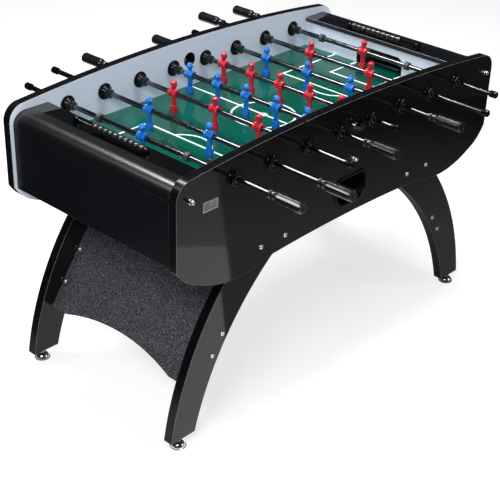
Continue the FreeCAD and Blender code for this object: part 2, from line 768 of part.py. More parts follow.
def makeTopBoard(name, end):
    """Top board of one end; its outer edge rolls over a quarter circle onto the end panel."""
    top = size("boardTop")
    thick = size("boardThick")
    roll = size("rollRadius")
    inside = roll - thick
    centre = endFace - roll
    low = top - roll
    half = math.sqrt(0.5)
    corners = [
        (boardInner, top - thick), (boardInner, top), (centre, top),
        (centre + roll * half, low + roll * half), (endFace, low), (endFace - thick, low),
        (centre + inside * half, low + inside * half), (centre, top - thick),
    ]
    points = [flat(end * x, z) for x, z in corners]
    curves = [
        Part.LineSegment(points[0], points[1]),
        Part.LineSegment(points[1], points[2]),
        Part.Arc(points[2], points[3], points[4]),
        Part.LineSegment(points[4], points[5]),
        Part.Arc(points[5], points[6], points[7]),
        Part.LineSegment(points[7], points[0]),
    ]
    return paddedBody(name, "XZ_Plane", curves, "Sizes.innerWidth")


def makeEndPanel(name, end):
    face = "(Sizes.tableLength / 2 - Sizes.endRecess)"
    return box(
        name, "Sizes.endThick", "Sizes.innerWidth",
        "Sizes.boardTop - Sizes.rollRadius - Sizes.panelEndLow + 7",
        face + " - Sizes.endThick" if end > 0 else "-" + face, "-Sizes.innerWidth / 2",
        "Sizes.panelEndLow - 7",
    )


def goalOutline(growth):
    """Goal opening seen along the table, open at the field; x here is across the table."""
    half = size("goalHalf") + growth
    low = size("fieldTop")
    high = low + size("goalHigh") + growth
    corner = size("goalCorner") + growth
    bulge = corner * (1 - math.cos(math.pi / 4))
    curves = [Part.LineSegment(flat(-half, low), flat(half, low))]
    for side in (-1, 1):
        curves.append(Part.LineSegment(flat(side * half, low), flat(side * half, high - corner)))
        curves.append(Part.Arc(
            flat(side * half, high - corner), flat(side * (half - bulge), high - bulge),
            flat(side * (half - corner), high),
        ))
    curves.append(Part.LineSegment(flat(corner - half, high), flat(half - corner, high)))
    return curves


def makeGoalWall(name, end):
    low = size("fieldTop")
    high = size("boardTop") - size("boardThick")
    corners = [
        flat(-innerFace, low), flat(innerFace, low), flat(innerFace, high), flat(-innerFace, high),
    ]
    body = paddedBody(name, "YZ_Plane", polygon(corners), "Sizes.goalWallThick")
    pocket(body, name + "Opening", "YZ_Plane", goalOutline(size("goalLining")))
    body.Placement.Base = Vector(end * (goalFace + goalBack) / 2, 0, 0)
    return body


def makeGoalFrames():
    """Trim before each end wall, with a lining through the opening."""
    frames = []
    for end in (-1, 1):
        inner = goalPrism(0, goalFace - 20, goalBack + 20)
        trim = goalPrism(size("goalTrim"), goalFace - size("goalTrimProud"), goalFace)
        lining = goalPrism(size("goalLining"), goalFace - size("goalTrimProud"), goalBack)
        frame = trim.fuse(lining).cut(inner).removeSplitter()
        frames.append(placed(frame, 0, 0, 0, 0 if end > 0 else 2))
    return feature("goal_frames", Part.makeCompound(frames))


def goalPrism(growth, start, end):
    edges = [curve.toShape() for curve in goalOutline(growth)]
    face = Part.Face(Part.Wire(Part.__sortEdges__(edges)))
    face.rotate(Vector(0, 0, 0), Vector(1, 1, 1), 120)
    face.translate(Vector(start, 0, 0))
    return face.extrude(Vector(end - start, 0, 0))


def makePlayfield():
    ends = "(2 * (Sizes.tableLength / 2 - Sizes.endRecess - Sizes.boardWidth"
    ends += " + Sizes.goalWallSetback + Sizes.goalWallThick + Sizes.fieldLip))"
    return box(
        "playfield", ends, "Sizes.innerWidth", "Sizes.fieldThick", "-" + ends + " / 2",
        "-Sizes.innerWidth / 2", "Sizes.fieldTop - Sizes.fieldThick",
    )


def makeFieldSupports():
    """Ledgers along the side panels, slats across, and the cabinet's corner posts."""
    under = size("fieldTop") - size("fieldThick")
    wide = size("ledgerWide")
    side = size("postSide")
    parts = []
    for across in (-innerFace, innerFace - wide):
        ledger = Part.makeBox(
            2 * goalFace, wide, size("ledgerHigh"),
            Vector(-goalFace, across, under - size("ledgerHigh")),
        )
        parts.append(ledger)
    span = 2 * (innerFace - wide)
    for place in (-3, -1, 1, 3):
        x = place * size("rodPitch") - size("slatWide") / 2
        slat = Part.makeBox(
            size("slatWide"), span, size("slatThick"),
            Vector(x, -span / 2, under - size("slatThick")),
        )
        parts.append(slat)
    low = size("panelEndLow") + 8
    high = size("boardTop") - size("rollRadius")
    for end in (-1, 1):
        for across in (-innerFace, innerFace - side):
            start = endFace - size("endThick") - side if end > 0 else size("endThick") - endFace
            parts.append(Part.makeBox(side, side, high - low, Vector(start, across, low)))
    return feature("field_supports", Part.makeCompound(parts))


# ---------------------------------------------------------------- ball return
def returnPrism(growth, start, end):
    """The return's outline as a solid between two places across the near side."""
    edges = [curve.toShape() for curve in returnOutline(growth)]
    face = Part.Face(Part.Wire(Part.__sortEdges__(edges)))
    face.rotate(Vector(0, 0, 0), Vector(1, 0, 0), 90)
    face.translate(Vector(0, start, 0))
    return face.extrude(Vector(0, end - start, 0))


def makeReturnCups():
    """Moulded pockets in the side panels where the balls come back, with a raised rim."""
    back = size("returnDepth") - innerFace
    wall = size("cupWall")
    rim = returnPrism(size("returnRim"), -outerFace - size("returnRimProud"), -outerFace)
    shell = returnPrism(wall, -outerFace, back)
    hollow = returnPrism(0, -outerFace - 20, back + 20)
    sill = returnPrism(0, back - wall, back)
    above = Part.makeBox(
        2 * cupHalf, 20, 200, Vector(-cupHalf, back - 10, size("returnLow") + size("returnSill"))
    )
    cup = rim.fuse(shell).cut(hollow).fuse(sill.cut(above)).removeSplitter()
    cups = [placed(cup, 0, 0, 0), placed(cup, 0, 0, 0, 2)]
    return feature("return_cups", Part.makeCompound(cups))


def makeBallRamps():
    """A tray behind each goal and a sloping channel from it to one of the two return cups."""
    wall = size("cupWall")
    wide = size("rampWidth")
    start = fieldEnd + size("trayGap")
    stop = endFace - size("endThick") - size("trayGap")
    floor = size("trayFloor")
    half = size("trayHalf")
    mouth = innerFace - size("returnDepth") - 1
    head = Vector(start + wide / 2, 0, floor)
    foot = Vector(0, mouth, floor - size("rampDrop"))
    run = math.hypot(head.x - foot.x, head.y - foot.y)
    turn = Rotation(Vector(0, 0, 1), math.degrees(math.atan2(foot.y - head.y, foot.x - head.x)))
    dip = Rotation(Vector(0, 1, 0), math.degrees(math.atan2(size("rampDrop"), run)))
    place = FreeCAD.Placement(head, turn.multiply(dip))
    long = run + wide
    channel = Part.makeBox(
        long, wide + 2 * wall, size("rampHigh") + wall, Vector(0, -wide / 2 - wall, -wall)
    )
    groove = Part.makeBox(long + 20, wide, size("rampHigh") + 60, Vector(-10, -wide / 2, 0))
    channel = channel.transformGeometry(place.toMatrix())
    groove = groove.transformGeometry(place.toMatrix())
    tray = Part.makeBox(
        stop - start, 2 * (half + wall), size("trayHigh"),
        Vector(start, -half - wall, floor - wall),
    )
    basin = Part.makeBox(
        stop - start - 2 * wall, 2 * half, size("trayHigh"), Vector(start + wall, -half, floor)
    )
    beyond = Part.makeBox(4 * halfLength, 200, 400, Vector(-2 * halfLength, mouth, floor - 300))
    ramp = tray.fuse(channel).cut(basin).cut(groove).cut(beyond).removeSplitter()
    ramps = [placed(ramp, 0, 0, 0), placed(ramp, 0, 0, 0, 2)]
    return feature("ball_ramps", Part.makeCompound(ramps))


def makeServeCups():
    """A ring, a short tube through the panel and a scoop below it, for putting the ball in."""
    radius = size("serveRadius")
    wall = size("serveWall")
    z = size("serveHeight")
    out = Vector(0, -1, 0)
    ring = Part.makeCylinder(size("serveFlange"), 4, Vector(0, -outerFace, z), out)
    tube = Part.makeCylinder(radius + wall, size("panelThick"), Vector(0, -innerFace, z), out)
    bore = Part.makeCylinder(radius, size("panelThick") + 10, Vector(0, 5 - innerFace, z), out)
    centre = Vector(0, -outerFace - 4, z)
    bowl = Part.makeSphere(radius + 2 * wall, centre)
    hollow = Part.makeSphere(radius + wall, centre)
    low = Part.makeBox(200, 100, 100, Vector(-100, centre.y - 100, z - 100))
    scoop = bowl.cut(hollow).common(low)
    cup = ring.fuse(tube).cut(bore).fuse(scoop).removeSplitter()
    cups = [placed(cup, 0, 0, 0), placed(cup, 0, 0, 0, 2)]
    return feature("serve_cups", Part.makeCompound(cups))


# ---------------------------------------------------------------- score counters
def railPlace(end):
    return end * (halfLength - size("scoreInLeft" if end < 0 else "scoreInRight"))


def makeScoreRails():
    parts = []
    middle = size("scoreShift")
    height = size("boardTop") + size("scoreHeight")
    half = size("scoreHalf")
    thick = size("scorePost")
    for end in (-1, 1):
        x = railPlace(end)
        rail = Part.makeCylinder(
            size("scoreRadius"), 2 * half, Vector(x, middle - half, height), Vector(0, 1, 0)
        )
        for side in (-1, 1):
            wide = 2 * size("beadRadius") - 4
            start = middle + side * half - thick / 2
            foot = Part.makeBox(
                wide, thick, size("scoreHeight"), Vector(x - wide / 2, start, size("boardTop"))
            )
            head = Part.makeCylinder(
                wide / 2, thick, Vector(x, start, height), Vector(0, 1, 0)
            )
            rail = rail.fuse(foot).fuse(head)
        parts.append(rail.removeSplitter())
    return feature("score_rails", Part.makeCompound(parts))


def makeScoreBeads():
    """Ten counters on each rail, pushed together to one end: left to -Y, right to +Y."""
    nodes = []
    height = size("boardTop") + size("scoreHeight")
    long = size("beadLength")
    radius = size("beadRadius")
    bore = size("scoreRadius") + size("runningGap")
    first = size("scoreHalf") - size("scorePost") / 2 - size("beadGap")
    profile = [
        (bore, 0), (radius - 3, 0), (radius - 3, 3), (radius, 5), (radius, long - 5),
        (radius - 3, long - 3), (radius - 3, long), (bore, long),
    ]
    bead = turnedBody("bead", profile, "Y")
    document.recompute()
    for name, end in (("score_beads_left", -1), ("score_beads_right", 1)):
        beads = []
        for number in range(10):
            start = size("scoreShift") + end * (first - number * long)
            turns = 0 if end < 0 else 2
            beads.append(placed(bead.Shape, railPlace(end), start, height, turns))
        nodes.append(feature(name, Part.makeCompound(beads)))
    return nodes


# ---------------------------------------------------------------- bolts
def dome(centre, outward):
    """A low domed bolt head with a hexagon socket, on a face."""
    radius = size("boltHead")
    high = size("boltHeadHigh")
    head = Part.makeCone(radius, radius * 0.55, high, centre, outward)
    collar = Part.makeCylinder(radius, high / 3, centre, outward)
    socket = Part.makeCylinder(radius * 0.35, high, centre + outward * (high * 0.5), outward)
    return head.fuse(collar).cut(socket)


def capNut(centre, outward):
    """A hexagon nut closed by a dome, on a face."""
    radius = size("capNutRadius")
    high = size("capNutHigh")
    corners = []
    for number in range(7):
        angle = math.radians(60 * number)
        offset = Vector(radius * math.cos(angle), 0, radius * math.sin(angle))
        corners.append(centre + offset)
    nut = Part.Face(Part.makePolygon(corners)).extrude(outward * (high / 2))
    ball = radius * math.cos(math.pi / 6) - 0.5
    dome = Part.makeSphere(ball, centre + outward * (high - ball))
    neck = Part.makeCylinder(ball, high - ball, centre, outward)
    return nut.fuse(dome).fuse(neck)


def makeBolts():
    bolts = []
    shank = size("boltShank")
    for side in (-1, 1):
        outward = Vector(0, side, 0)
        capped = [(0, size("middleBoltHeight"))]
        onPanel = []
        onLeg = []
        for end in (-1, 1):
            corner = end * (halfLength - size("cornerBoltIn"))
            capped.append((corner, size("cornerBoltHeight")))
            for x, z in hipBolts():
                onPanel.append((end * x, z, size("panelThick") + size("legThick") - 1))
            for x, z in battenBolts():
                onLeg.append((end * x, z, size("legThick") + size("battenSide") / 2 - 1))
        for face, group in ((outerFace, onPanel), (innerFace, onLeg)):
            for x, z, long in group:
                centre = Vector(x, side * face, z)
                stem = Part.makeCylinder(shank, long, centre, outward * -1)
                bolts.append(dome(centre, outward).fuse(stem))
        for x, z in capped:
            centre = Vector(x, side * outerFace, z)
            stem = Part.makeCylinder(shank, size("panelThick") - 1, centre, outward * -1)
            bolts.append(capNut(centre, outward).fuse(stem))
    place = legPanelPlacement(-1, 0)
    outward = place.Rotation.multVec(Vector(-1, 0, 0))
    for across in (-1, 1):
        for height in (size("panelBoltLow"), size("panelBoltHigh")):
            stem = panelBoltTool(-1, across, height, 0)
            along = (height - size("legPanelLow")) / math.cos(math.radians(size("legPanelTilt")))
            centre = place.multVec(Vector(0, across * (legFace - size("panelBoltIn")), along))
            bolts.append(dome(centre, outward).fuse(stem))
    return feature("cabinet_bolts", Part.makeCompound(bolts))


# ---------------------------------------------------------------- the table
nodes = []
for name, side in (("side_panel_near", -1), ("side_panel_far", 1)):
    nodes.append(makeSidePanel(name, side))
for word, end in (("left", -1), ("right", 1)):
    nodes.append(makeEndPanel("end_panel_" + word, end))
    nodes.append(makeTopBoard("top_board_" + word, end))
    nodes.append(makeGoalWall("goal_wall_" + word, end))
    pair = [
        makeLeg("leg%s%s" % (word, label), side, end) for label, side in (("Near", -1), ("Far", 1))
    ]
    nodes.append(compound("legs_" + word, pair))
nodes.append(makeGoalFrames())
nodes.append(makePlayfield())
nodes.append(makeFieldSupports())
nodes.append(makeBallRamps())
nodes.append(makeLegPanel("leg_panel", -1))
nodes.append(makeBattens())
nodes.append(makeBolts())
nodes.append(makeServeCups())
nodes.append(makeReturnCups())
nodes.append(makeScoreRails())
nodes += makeScoreBeads()

patternObjects = {
    "figure": makeFigure(), "grip": makeGrip(), "cap": makeCap(), "collar": makeCollar(),
    "flange": makeBearingFlange(), "liner": makeLiner(), "nut": makeNut(), "foot": makeFoot(),
}
document.recompute()
patterns = {name: item.Shape for name, item in patternObjects.items()}
nodes += makeBearings(patterns["flange"], patterns["liner"], patterns["nut"])
nodes += makeRods(patterns)
nodes += makeFeet(patterns["foot"])
document.recompute()

for item in document.Objects:
    if "Invalid" in item.State or "Error" in item.State:
        raise RuntimeError("%s failed: %s" % (item.Label, item.State))
for node in nodes:
    if node.Shape.isNull() or not node.Shape.isValid() or not node.Shape.Solids:
        raise RuntimeError("%s has no valid solid" % node.Label)

os.makedirs("parts", exist_ok=True)
for node in nodes:
    node.Shape.exportStep("parts/%s.step" % node.Label)
for index, kind in enumerate(rodKinds):
    print("rod %d travels %.1f each way from its middle, rests at %+.1f"
          % (index + 1, travelOf(kind), restShifts[index]))
print("%d nodes written" % len(nodes))
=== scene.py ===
import math

import bmesh
import bpy
from mathutils import Matrix, Vector


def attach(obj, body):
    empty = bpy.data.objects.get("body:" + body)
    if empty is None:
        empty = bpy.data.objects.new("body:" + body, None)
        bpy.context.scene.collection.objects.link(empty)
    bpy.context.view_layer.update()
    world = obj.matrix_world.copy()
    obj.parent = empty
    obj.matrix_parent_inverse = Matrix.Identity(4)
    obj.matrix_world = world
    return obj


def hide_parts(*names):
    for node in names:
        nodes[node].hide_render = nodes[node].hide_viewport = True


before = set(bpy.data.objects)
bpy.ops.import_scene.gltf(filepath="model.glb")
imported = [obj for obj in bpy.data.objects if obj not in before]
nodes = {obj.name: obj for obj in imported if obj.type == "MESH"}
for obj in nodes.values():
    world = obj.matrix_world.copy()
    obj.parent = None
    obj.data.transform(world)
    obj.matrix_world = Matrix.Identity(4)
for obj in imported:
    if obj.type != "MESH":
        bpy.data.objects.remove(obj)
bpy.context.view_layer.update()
print("cabinet frame loaded")


# Picking, edit mode and finishing.
def letGo():
    if bpy.context.mode != "OBJECT":
        bpy.ops.object.mode_set(mode="OBJECT")
    bpy.ops.object.select_all(action="DESELECT")


def take(piece):
    letGo()
    piece.select_set(True)
    bpy.context.view_layer.objects.active = piece
    return piece


def openMesh(piece, kind="FACE"):
    take(piece)
    bpy.ops.object.mode_set(mode="EDIT")
    bpy.ops.mesh.select_mode(type=kind)
    bpy.ops.mesh.select_all(action="DESELECT")


def closeMesh():
    bpy.ops.object.mode_set(mode="OBJECT")


def chooseFaces(piece, test):
    openMesh(piece)
    mesh = bmesh.from_edit_mesh(piece.data)
    for face in mesh.faces:
        if test(face.calc_center_median(), face.normal):
            face.select_set(True)
    bmesh.update_edit_mesh(piece.data)


def faceOut(piece):
    openMesh(piece)
    bpy.ops.mesh.select_all(action="SELECT")
    bpy.ops.mesh.normals_make_consistent(inside=False)
    closeMesh()


def settlePlace(piece):
    take(piece)
    bpy.ops.object.transform_apply(location=True, rotation=True, scale=True)


def modified(piece, kind, **settings):
    take(piece)
    change = piece.modifiers.new("step", kind)
    for name, value in settings.items():
        setattr(change, name, value)
    bpy.ops.object.modifier_apply(modifier=change.name)
    return piece


def rounded(piece, width, segments=2, angle=35, edgeFinish=-1):
    return modified(
        piece, "BEVEL", width=width, segments=segments, limit_method="ANGLE",
        angle_limit=math.radians(angle), material=edgeFinish,
    )


def smoothed(piece, angle=28):
    take(piece)
    bpy.ops.object.shade_smooth_by_angle(angle=math.radians(angle))
    return piece


def evened(piece):  # flat boards stay flat up to their rounded edges
    smoothed(piece, 60)
    return modified(piece, "WEIGHTED_NORMAL", mode="FACE_AREA", weight=90, keep_sharp=True)


def joined(name, pieces):
    letGo()
    for piece in pieces:
        piece.select_set(True)
    bpy.context.view_layer.objects.active = pieces[0]
    if len(pieces) > 1:
        bpy.ops.object.join()
    bpy.context.object.name = name
    return bpy.context.object


def copied(pattern, name, place=(0, 0, 0), turn=0):
    piece = pattern.copy()
    piece.data = pattern.data.copy()
    piece.name = name
    bpy.context.collection.objects.link(piece)
    piece.data.transform(Matrix.Translation(place) @ Matrix.Rotation(turn, 4, "Z"))
    return piece


def dropped(*patterns):
    for pattern in patterns:
        bpy.data.objects.remove(pattern)


def refined(nodeName, name, flatness=0.4):  # a merged copy of a frame part, to be worked on
    piece = nodes[nodeName].copy()
    piece.data = nodes[nodeName].data.copy()
    for key in list(piece.keys()):
        del piece[key]
    piece.parent = None
    piece.name = name
    piece.data.materials.clear()
    bpy.context.collection.objects.link(piece)
    take(piece)
    bpy.ops.mesh.customdata_custom_splitnormals_clear()
    openMesh(piece, "VERT")
    bpy.ops.mesh.select_all(action="SELECT")
    bpy.ops.mesh.remove_doubles(threshold=0.00001)
    bpy.ops.mesh.dissolve_limited(angle_limit=math.radians(flatness))
    closeMesh()
    return piece


def turned(name, rings, sides=40, bored=False):  # rings are (radius, place along y)
    letGo()
    radius, place = rings[0]
    bpy.ops.mesh.primitive_circle_add(
        vertices=sides, radius=radius, fill_type="NGON", location=(0, place, 0),
        rotation=(math.pi / 2, 0, 0),
    )
    piece = bpy.context.object
    piece.name = name
    settlePlace(piece)
    bpy.ops.object.mode_set(mode="EDIT")
    bpy.ops.mesh.select_all(action="SELECT")
    for nextRadius, nextPlace in rings[1:]:
        bpy.ops.mesh.extrude_region_move(
            TRANSFORM_OT_translate={"value": (0, nextPlace - place, 0)}
        )
        grow = nextRadius / radius
        bpy.ops.transform.resize(value=(grow, 1, grow), center_override=(0, nextPlace, 0))
        radius, place = nextRadius, nextPlace
    closeMesh()
    if bored:
        start, end = rings[0][1], rings[-1][1]
        chooseFaces(piece, lambda centre, normal: math.hypot(centre.x, centre.z) < 0.0005
                    and min(abs(centre.y - start), abs(centre.y - end)) < 0.00001)
        bpy.ops.mesh.bridge_edge_loops()
        closeMesh()
    faceOut(piece)
    return piece


def painted(piece, finishes, rule=None):
    piece.data.materials.clear()
    for finish in finishes:
        piece.data.materials.append(finish)
    for face in piece.data.polygons:
        face.material_index = rule(face.center, face.normal) if rule else 0
    return piece


def repainted(piece, index, test):
    for face in piece.data.polygons:
        if test(face.center, face.normal):
            face.material_index = index


def settle(piece, body, slot, *replaced):
    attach(piece, body)
    if replaced:
        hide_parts(*replaced)
    return piece


# Finishes. A Wire is one socket, and arithmetic on it adds the node that does it.
class Wire:
    def __init__(self, finish, socket):
        self.finish = finish
        self.socket = socket

    def maths(self, operation, first, second):
        return self.finish.node("ShaderNodeMath", {"operation": operation}, {0: first, 1: second})

    def __add__(self, other):
        return self.maths("ADD", self, other)

    def __sub__(self, other):
        return self.maths("SUBTRACT", self, other)

    def __mul__(self, other):
        return self.maths("MULTIPLY", self, other)

    def __lt__(self, other):
        return self.maths("LESS_THAN", self, other)

    def __gt__(self, other):
        return self.maths("GREATER_THAN", self, other)

    def __abs__(self):
        return self.maths("ABSOLUTE", self, 0)

    def root(self):
        return self.maths("SQRT", self, 0)


class Finish:
    def __init__(self, name, **shaderValues):
        self.material = bpy.data.materials.new(name)
        self.material.use_nodes = True
        self.tree = self.material.node_tree
        self.shader = self.tree.nodes["Principled BSDF"]
        self.place = self.node("ShaderNodeTexCoord", {}, {}, "Object")
        for socketName, value in shaderValues.items():
            self.set(socketName.replace("_", " "), value)

    def node(self, kind, settings, inputs, output=0):
        made = self.tree.nodes.new(kind)
        for name, value in settings.items():
            if name == "stops":
                self.stops(made.color_ramp, value)
            else:
                setattr(made, name, value)
        for name, value in inputs.items():
            self.join(value, made.inputs[name])
        return Wire(self, made.outputs[output])

    def stops(self, ramp, places):
        while len(ramp.elements) < len(places):
            ramp.elements.new(0.5)
        for element, (position, colour) in zip(ramp.elements, places):
            element.position = position
            element.color = colour if len(colour) == 4 else (*colour, 1)

    def join(self, value, socket):
        if isinstance(value, Wire):
            self.tree.links.new(value.socket, socket)
        elif socket.type == "RGBA" and len(value) == 3:
            socket.default_value = (*value, 1)
        else:
            socket.default_value = value

    def set(self, socketName, value):
        self.join(value, self.shader.inputs[socketName])

    def noise(self, scale, detail=3, roughness=0.5, where=None):
        return self.node(
            "ShaderNodeTexNoise", {},
            {"Vector": where or self.place, "Scale": scale, "Detail": detail,
             "Roughness": roughness},
            "Fac",
        )

    def stretched(self, x, y, z):  # object coordinates, squeezed along an axis for a grain
        return self.node(
            "ShaderNodeMapping", {}, {"Vector": self.place, "Scale": (x, y, z)}
        )

    def axis(self, name):
        return self.node("ShaderNodeSeparateXYZ", {}, {"Vector": self.place}, name)

    def between(self, value, low, high, outLow=0.0, outHigh=1.0):
        return self.node(
            "ShaderNodeMapRange", {"clamp": True},
            {"Value": value, "From Min": low, "From Max": high, "To Min": outLow,
             "To Max": outHigh},
        )

    def mixed(self, amount, first, second):
        return self.node(
            "ShaderNodeMix", {"data_type": "RGBA"}, {0: amount, 6: first, 7: second}, 2
        )

    def bump(self, height, strength, distance, after=None):
        inputs = {"Height": height, "Strength": strength, "Distance": distance}
        if after:
            inputs["Normal"] = after
        return self.node("ShaderNodeBump", {}, inputs)


def laminate(name, dark, light, roughLow, roughHigh, coat, coatRough, bumpStrength, level=0.5):
    finish = Finish(name, Coat_Weight=coat, Coat_Roughness=coatRough, Specular_IOR_Level=level)
    cloud = finish.noise(9, 5, 0.6)
    speck = finish.noise(900, 2, 0.7)
    tone = finish.between(cloud * 0.7 + speck * 0.3, 0.32, 0.68)
    finish.set("Base Color", finish.mixed(tone, dark, light))
    finish.set("Roughness", finish.between(finish.noise(35, 4) * 0.6 + speck * 0.4, 0.3, 0.7,
                                           roughLow, roughHigh))
    wave = finish.bump(finish.noise(60, 2, 0.4), bumpStrength, 0.0006)
    finish.set("Normal", finish.bump(speck, bumpStrength * 0.6, 0.00008, wave))
    return finish.material


def plastic(name, dark, light, roughLow, roughHigh, coat=0.0, coatRough=0.2, grain=1600,
            grainDeep=0.00004, strength=0.3, metallic=0.0, level=0.5):
    finish = Finish(name, Coat_Weight=coat, Coat_Roughness=coatRough, Metallic=metallic,
                    Specular_IOR_Level=level)
    skin = finish.noise(grain, 3, 0.6)
    patches = finish.noise(70, 4, 0.55)
    finish.set("Base Color", finish.mixed(finish.between(patches, 0.3, 0.7), dark, light))
    finish.set("Roughness", finish.between(patches * 0.5 + skin * 0.5, 0.3, 0.7,
                                           roughLow, roughHigh))
    finish.set("Normal", finish.bump(skin, strength, grainDeep))
    return finish.material


glossBlack = laminate(
    "glossBlackPanel", (0.0030, 0.0030, 0.0033), (0.0060, 0.0060, 0.0064), 0.03, 0.07, 0.0, 0.05,
    0.015, 0.5,
)
edgeBand = laminate(
    "edgeBand", (0.0016, 0.0016, 0.0020), (0.0036, 0.0036, 0.0042), 0.2, 0.3, 0.0, 0.12, 0.1, 0.2,
)
# Light grey put on the rounded edges of the black boards and on thin strips of the top boards'
# trim: a painted highlight.
paintedEdgeHighlight = plastic("paintedEdgeHighlight", (0.24, 0.24, 0.25), (0.34, 0.34, 0.35), 0.25, 0.4, 0.2)
boardGloss = laminate(
    "boardGloss", (0.0008, 0.0008, 0.0010), (0.0018, 0.0018, 0.0022), 0.03, 0.06, 0.3, 0.02,
    0.02, 0.5,
)
boardSatin = laminate(
    "boardSatin", (0.0016, 0.0016, 0.0020), (0.0034, 0.0034, 0.0040), 0.26, 0.34, 0.1, 0.15,
    0.08, 0.5,
)
satinBlack = laminate(
    "satinBlackLaminate", (0.0016, 0.0020, 0.0032), (0.0036, 0.0042, 0.0060), 0.28, 0.4, 0.0, 0.25,
    0.12, 0.25,
)
boardTrim = laminate(
    "boardTrim", (0.012, 0.014, 0.020), (0.022, 0.025, 0.034), 0.22, 0.32, 0.3, 0.15, 0.1, 0.5,
)


def silverSheet():
    finish = Finish("silverLaminate", Coat_Weight=0.1, Coat_Roughness=0.3)
    brushed = finish.noise(260, 4, 0.6, finish.stretched(0.06, 1, 1))
    fleck = finish.noise(1500, 2, 0.6)
    tone = finish.between(brushed * 0.4 + fleck * 0.6, 0.35, 0.65)
    finish.set("Base Color", finish.mixed(tone, (0.66, 0.735, 0.87), (0.78, 0.855, 0.98)))
    finish.set("Roughness", finish.between(fleck, 0.3, 0.7, 0.34, 0.46))
    finish.set("Normal", finish.bump(brushed, 0.08, 0.0001))
    return finish.material


silver = silverSheet()

fieldMarks = {
    "lineWide": 0.0072, "circle": 0.105, "spot": 0.013, "boxAt": 0.322, "boxHalf": 0.203,
    "arcCentre": 0.365, "arcRadius": 0.089, "goalBoxAt": 0.456, "goalBoxHalf": 0.098,
    "green": (0.0, 0.055, 0.036), "lightGreen": (0.0, 0.074, 0.051), "white": (0.74, 0.82, 0.79),
}


def fieldSheet():
    marks = fieldMarks
    finish = Finish(
        "greenField", Coat_Weight=0.45, Coat_Roughness=0.03, Specular_IOR_Level=0.1,
    )
    x = abs(finish.axis("X"))
    y = abs(finish.axis("Y"))
    half = marks["lineWide"] / 2
    middle = (x * x + y * y).root()
    arc = x - marks["arcCentre"]
    arcReach = (arc * arc + y * y).root()

    def line(distance):
        return abs(distance) < half

    white = line(x) + line(middle - marks["circle"]) + (middle < marks["spot"])
    white = white + line(x - marks["boxAt"]) * (y < marks["boxHalf"] + half)
    white = white + line(y - marks["boxHalf"]) * (x > marks["boxAt"])
    white = white + line(x - marks["goalBoxAt"]) * (y < marks["goalBoxHalf"] + half)
    white = white + line(y - marks["goalBoxHalf"]) * (x > marks["goalBoxAt"])
    white = white + line(arcReach - marks["arcRadius"]) * (x < marks["boxAt"])
    white = white > 0.5
    wear = finish.between(finish.noise(420, 4, 0.7), 0.30, 0.42, 0.82, 1.0)
    fibre = finish.noise(700, 3, 0.6)
    cloth = finish.mixed(
        finish.between(finish.noise(6, 4) * 0.6 + fibre * 0.4, 0.35, 0.65),
        marks["green"], marks["lightGreen"],
    )
    finish.set("Base Color", finish.mixed(white * wear, cloth, marks["white"]))
    finish.set("Roughness", finish.between(fibre, 0.3, 0.7, 0.20, 0.30) + white * 0.08)
    finish.set("Normal", finish.bump(white * 0.5 + fibre * 0.08, 0.10, 0.0001))
    return finish.material


greenField = fieldSheet()


def speckledSheet():
    finish = Finish("speckledCharcoal", Specular_IOR_Level=0.4)
    grain = finish.noise(260, 1, 0.5)
    fine = finish.noise(620, 1, 0.5)
    tone = finish.between(grain * 0.55 + fine * 0.45, 0.38, 0.64)
    finish.set("Base Color", finish.node(
        "ShaderNodeValToRGB",
        {"stops": [(0.0, (0.004, 0.004, 0.005)), (0.45, (0.022, 0.022, 0.027)),
                   (1.0, (0.20, 0.20, 0.235))]},
        {"Fac": tone},
    ))
    finish.set("Roughness", finish.between(fine, 0.3, 0.7, 0.42, 0.62))
    finish.set("Normal", finish.bump(grain, 0.55, 0.0004))
    return finish.material


speckled = speckledSheet()


def boardCore():
    finish = Finish("fibreboard", Roughness=0.8)
    fibre = finish.noise(500, 5, 0.7, finish.stretched(0.3, 1, 1))
    chips = finish.noise(180, 3, 0.6)
    finish.set("Base Color", finish.mixed(
        finish.between(fibre * 0.5 + chips * 0.5, 0.35, 0.65),
        (0.25, 0.17, 0.10), (0.45, 0.33, 0.21),
    ))
    finish.set("Normal", finish.bump(fibre, 0.4, 0.0004))
    return finish.material


fibreboard = boardCore()


def chromeFinish(name, dark, light, roughLow, roughHigh):
    finish = Finish(name, Metallic=1.0)
    polish = finish.noise(500, 3, 0.6, finish.stretched(1, 0.02, 1))
    smear = finish.noise(45, 4, 0.6)
    finish.set("Base Color", finish.mixed(finish.between(smear, 0.35, 0.65), dark, light))
    finish.set("Roughness", finish.between(polish * 0.5 + smear * 0.5, 0.3, 0.7,
                                           roughLow, roughHigh))
    finish.set("Normal", finish.bump(polish, 0.05, 0.00002))
    return finish.material


# Rod chrome gets a dark base colour, far below real chrome, so the rods read dark between thin
# highlights: painted shade. Bolts and feet keep brighter chrome.
chrome = chromeFinish("chrome", (0.10, 0.10, 0.106), (0.15, 0.15, 0.158), 0.10, 0.16)
boltChrome = chromeFinish("boltChrome", (0.75, 0.75, 0.77), (0.90, 0.90, 0.92), 0.22, 0.32)
footChrome = chromeFinish("footChrome", (0.55, 0.55, 0.57), (0.72, 0.72, 0.74), 0.10, 0.18)
blackPlastic = plastic(
    "blackPlastic", (0.0008, 0.0008, 0.0011), (0.0022, 0.0022, 0.0028), 0.12, 0.2, 0.2, 0.06,
    level=0.3,
)
darkPocket = plastic(
    "darkPocket", (0.001, 0.001, 0.0013), (0.0025, 0.0025, 0.003), 0.25, 0.4, level=0.3,
)
gripPlastic = plastic(
    "gripPlastic", (0.0020, 0.0020, 0.0026), (0.0060, 0.0060, 0.0072), 0.2, 0.3, 1.0, 0.08,
)
collarPlastic = plastic("collarPlastic", (0.035, 0.032, 0.036), (0.065, 0.060, 0.066), 0.35, 0.5)
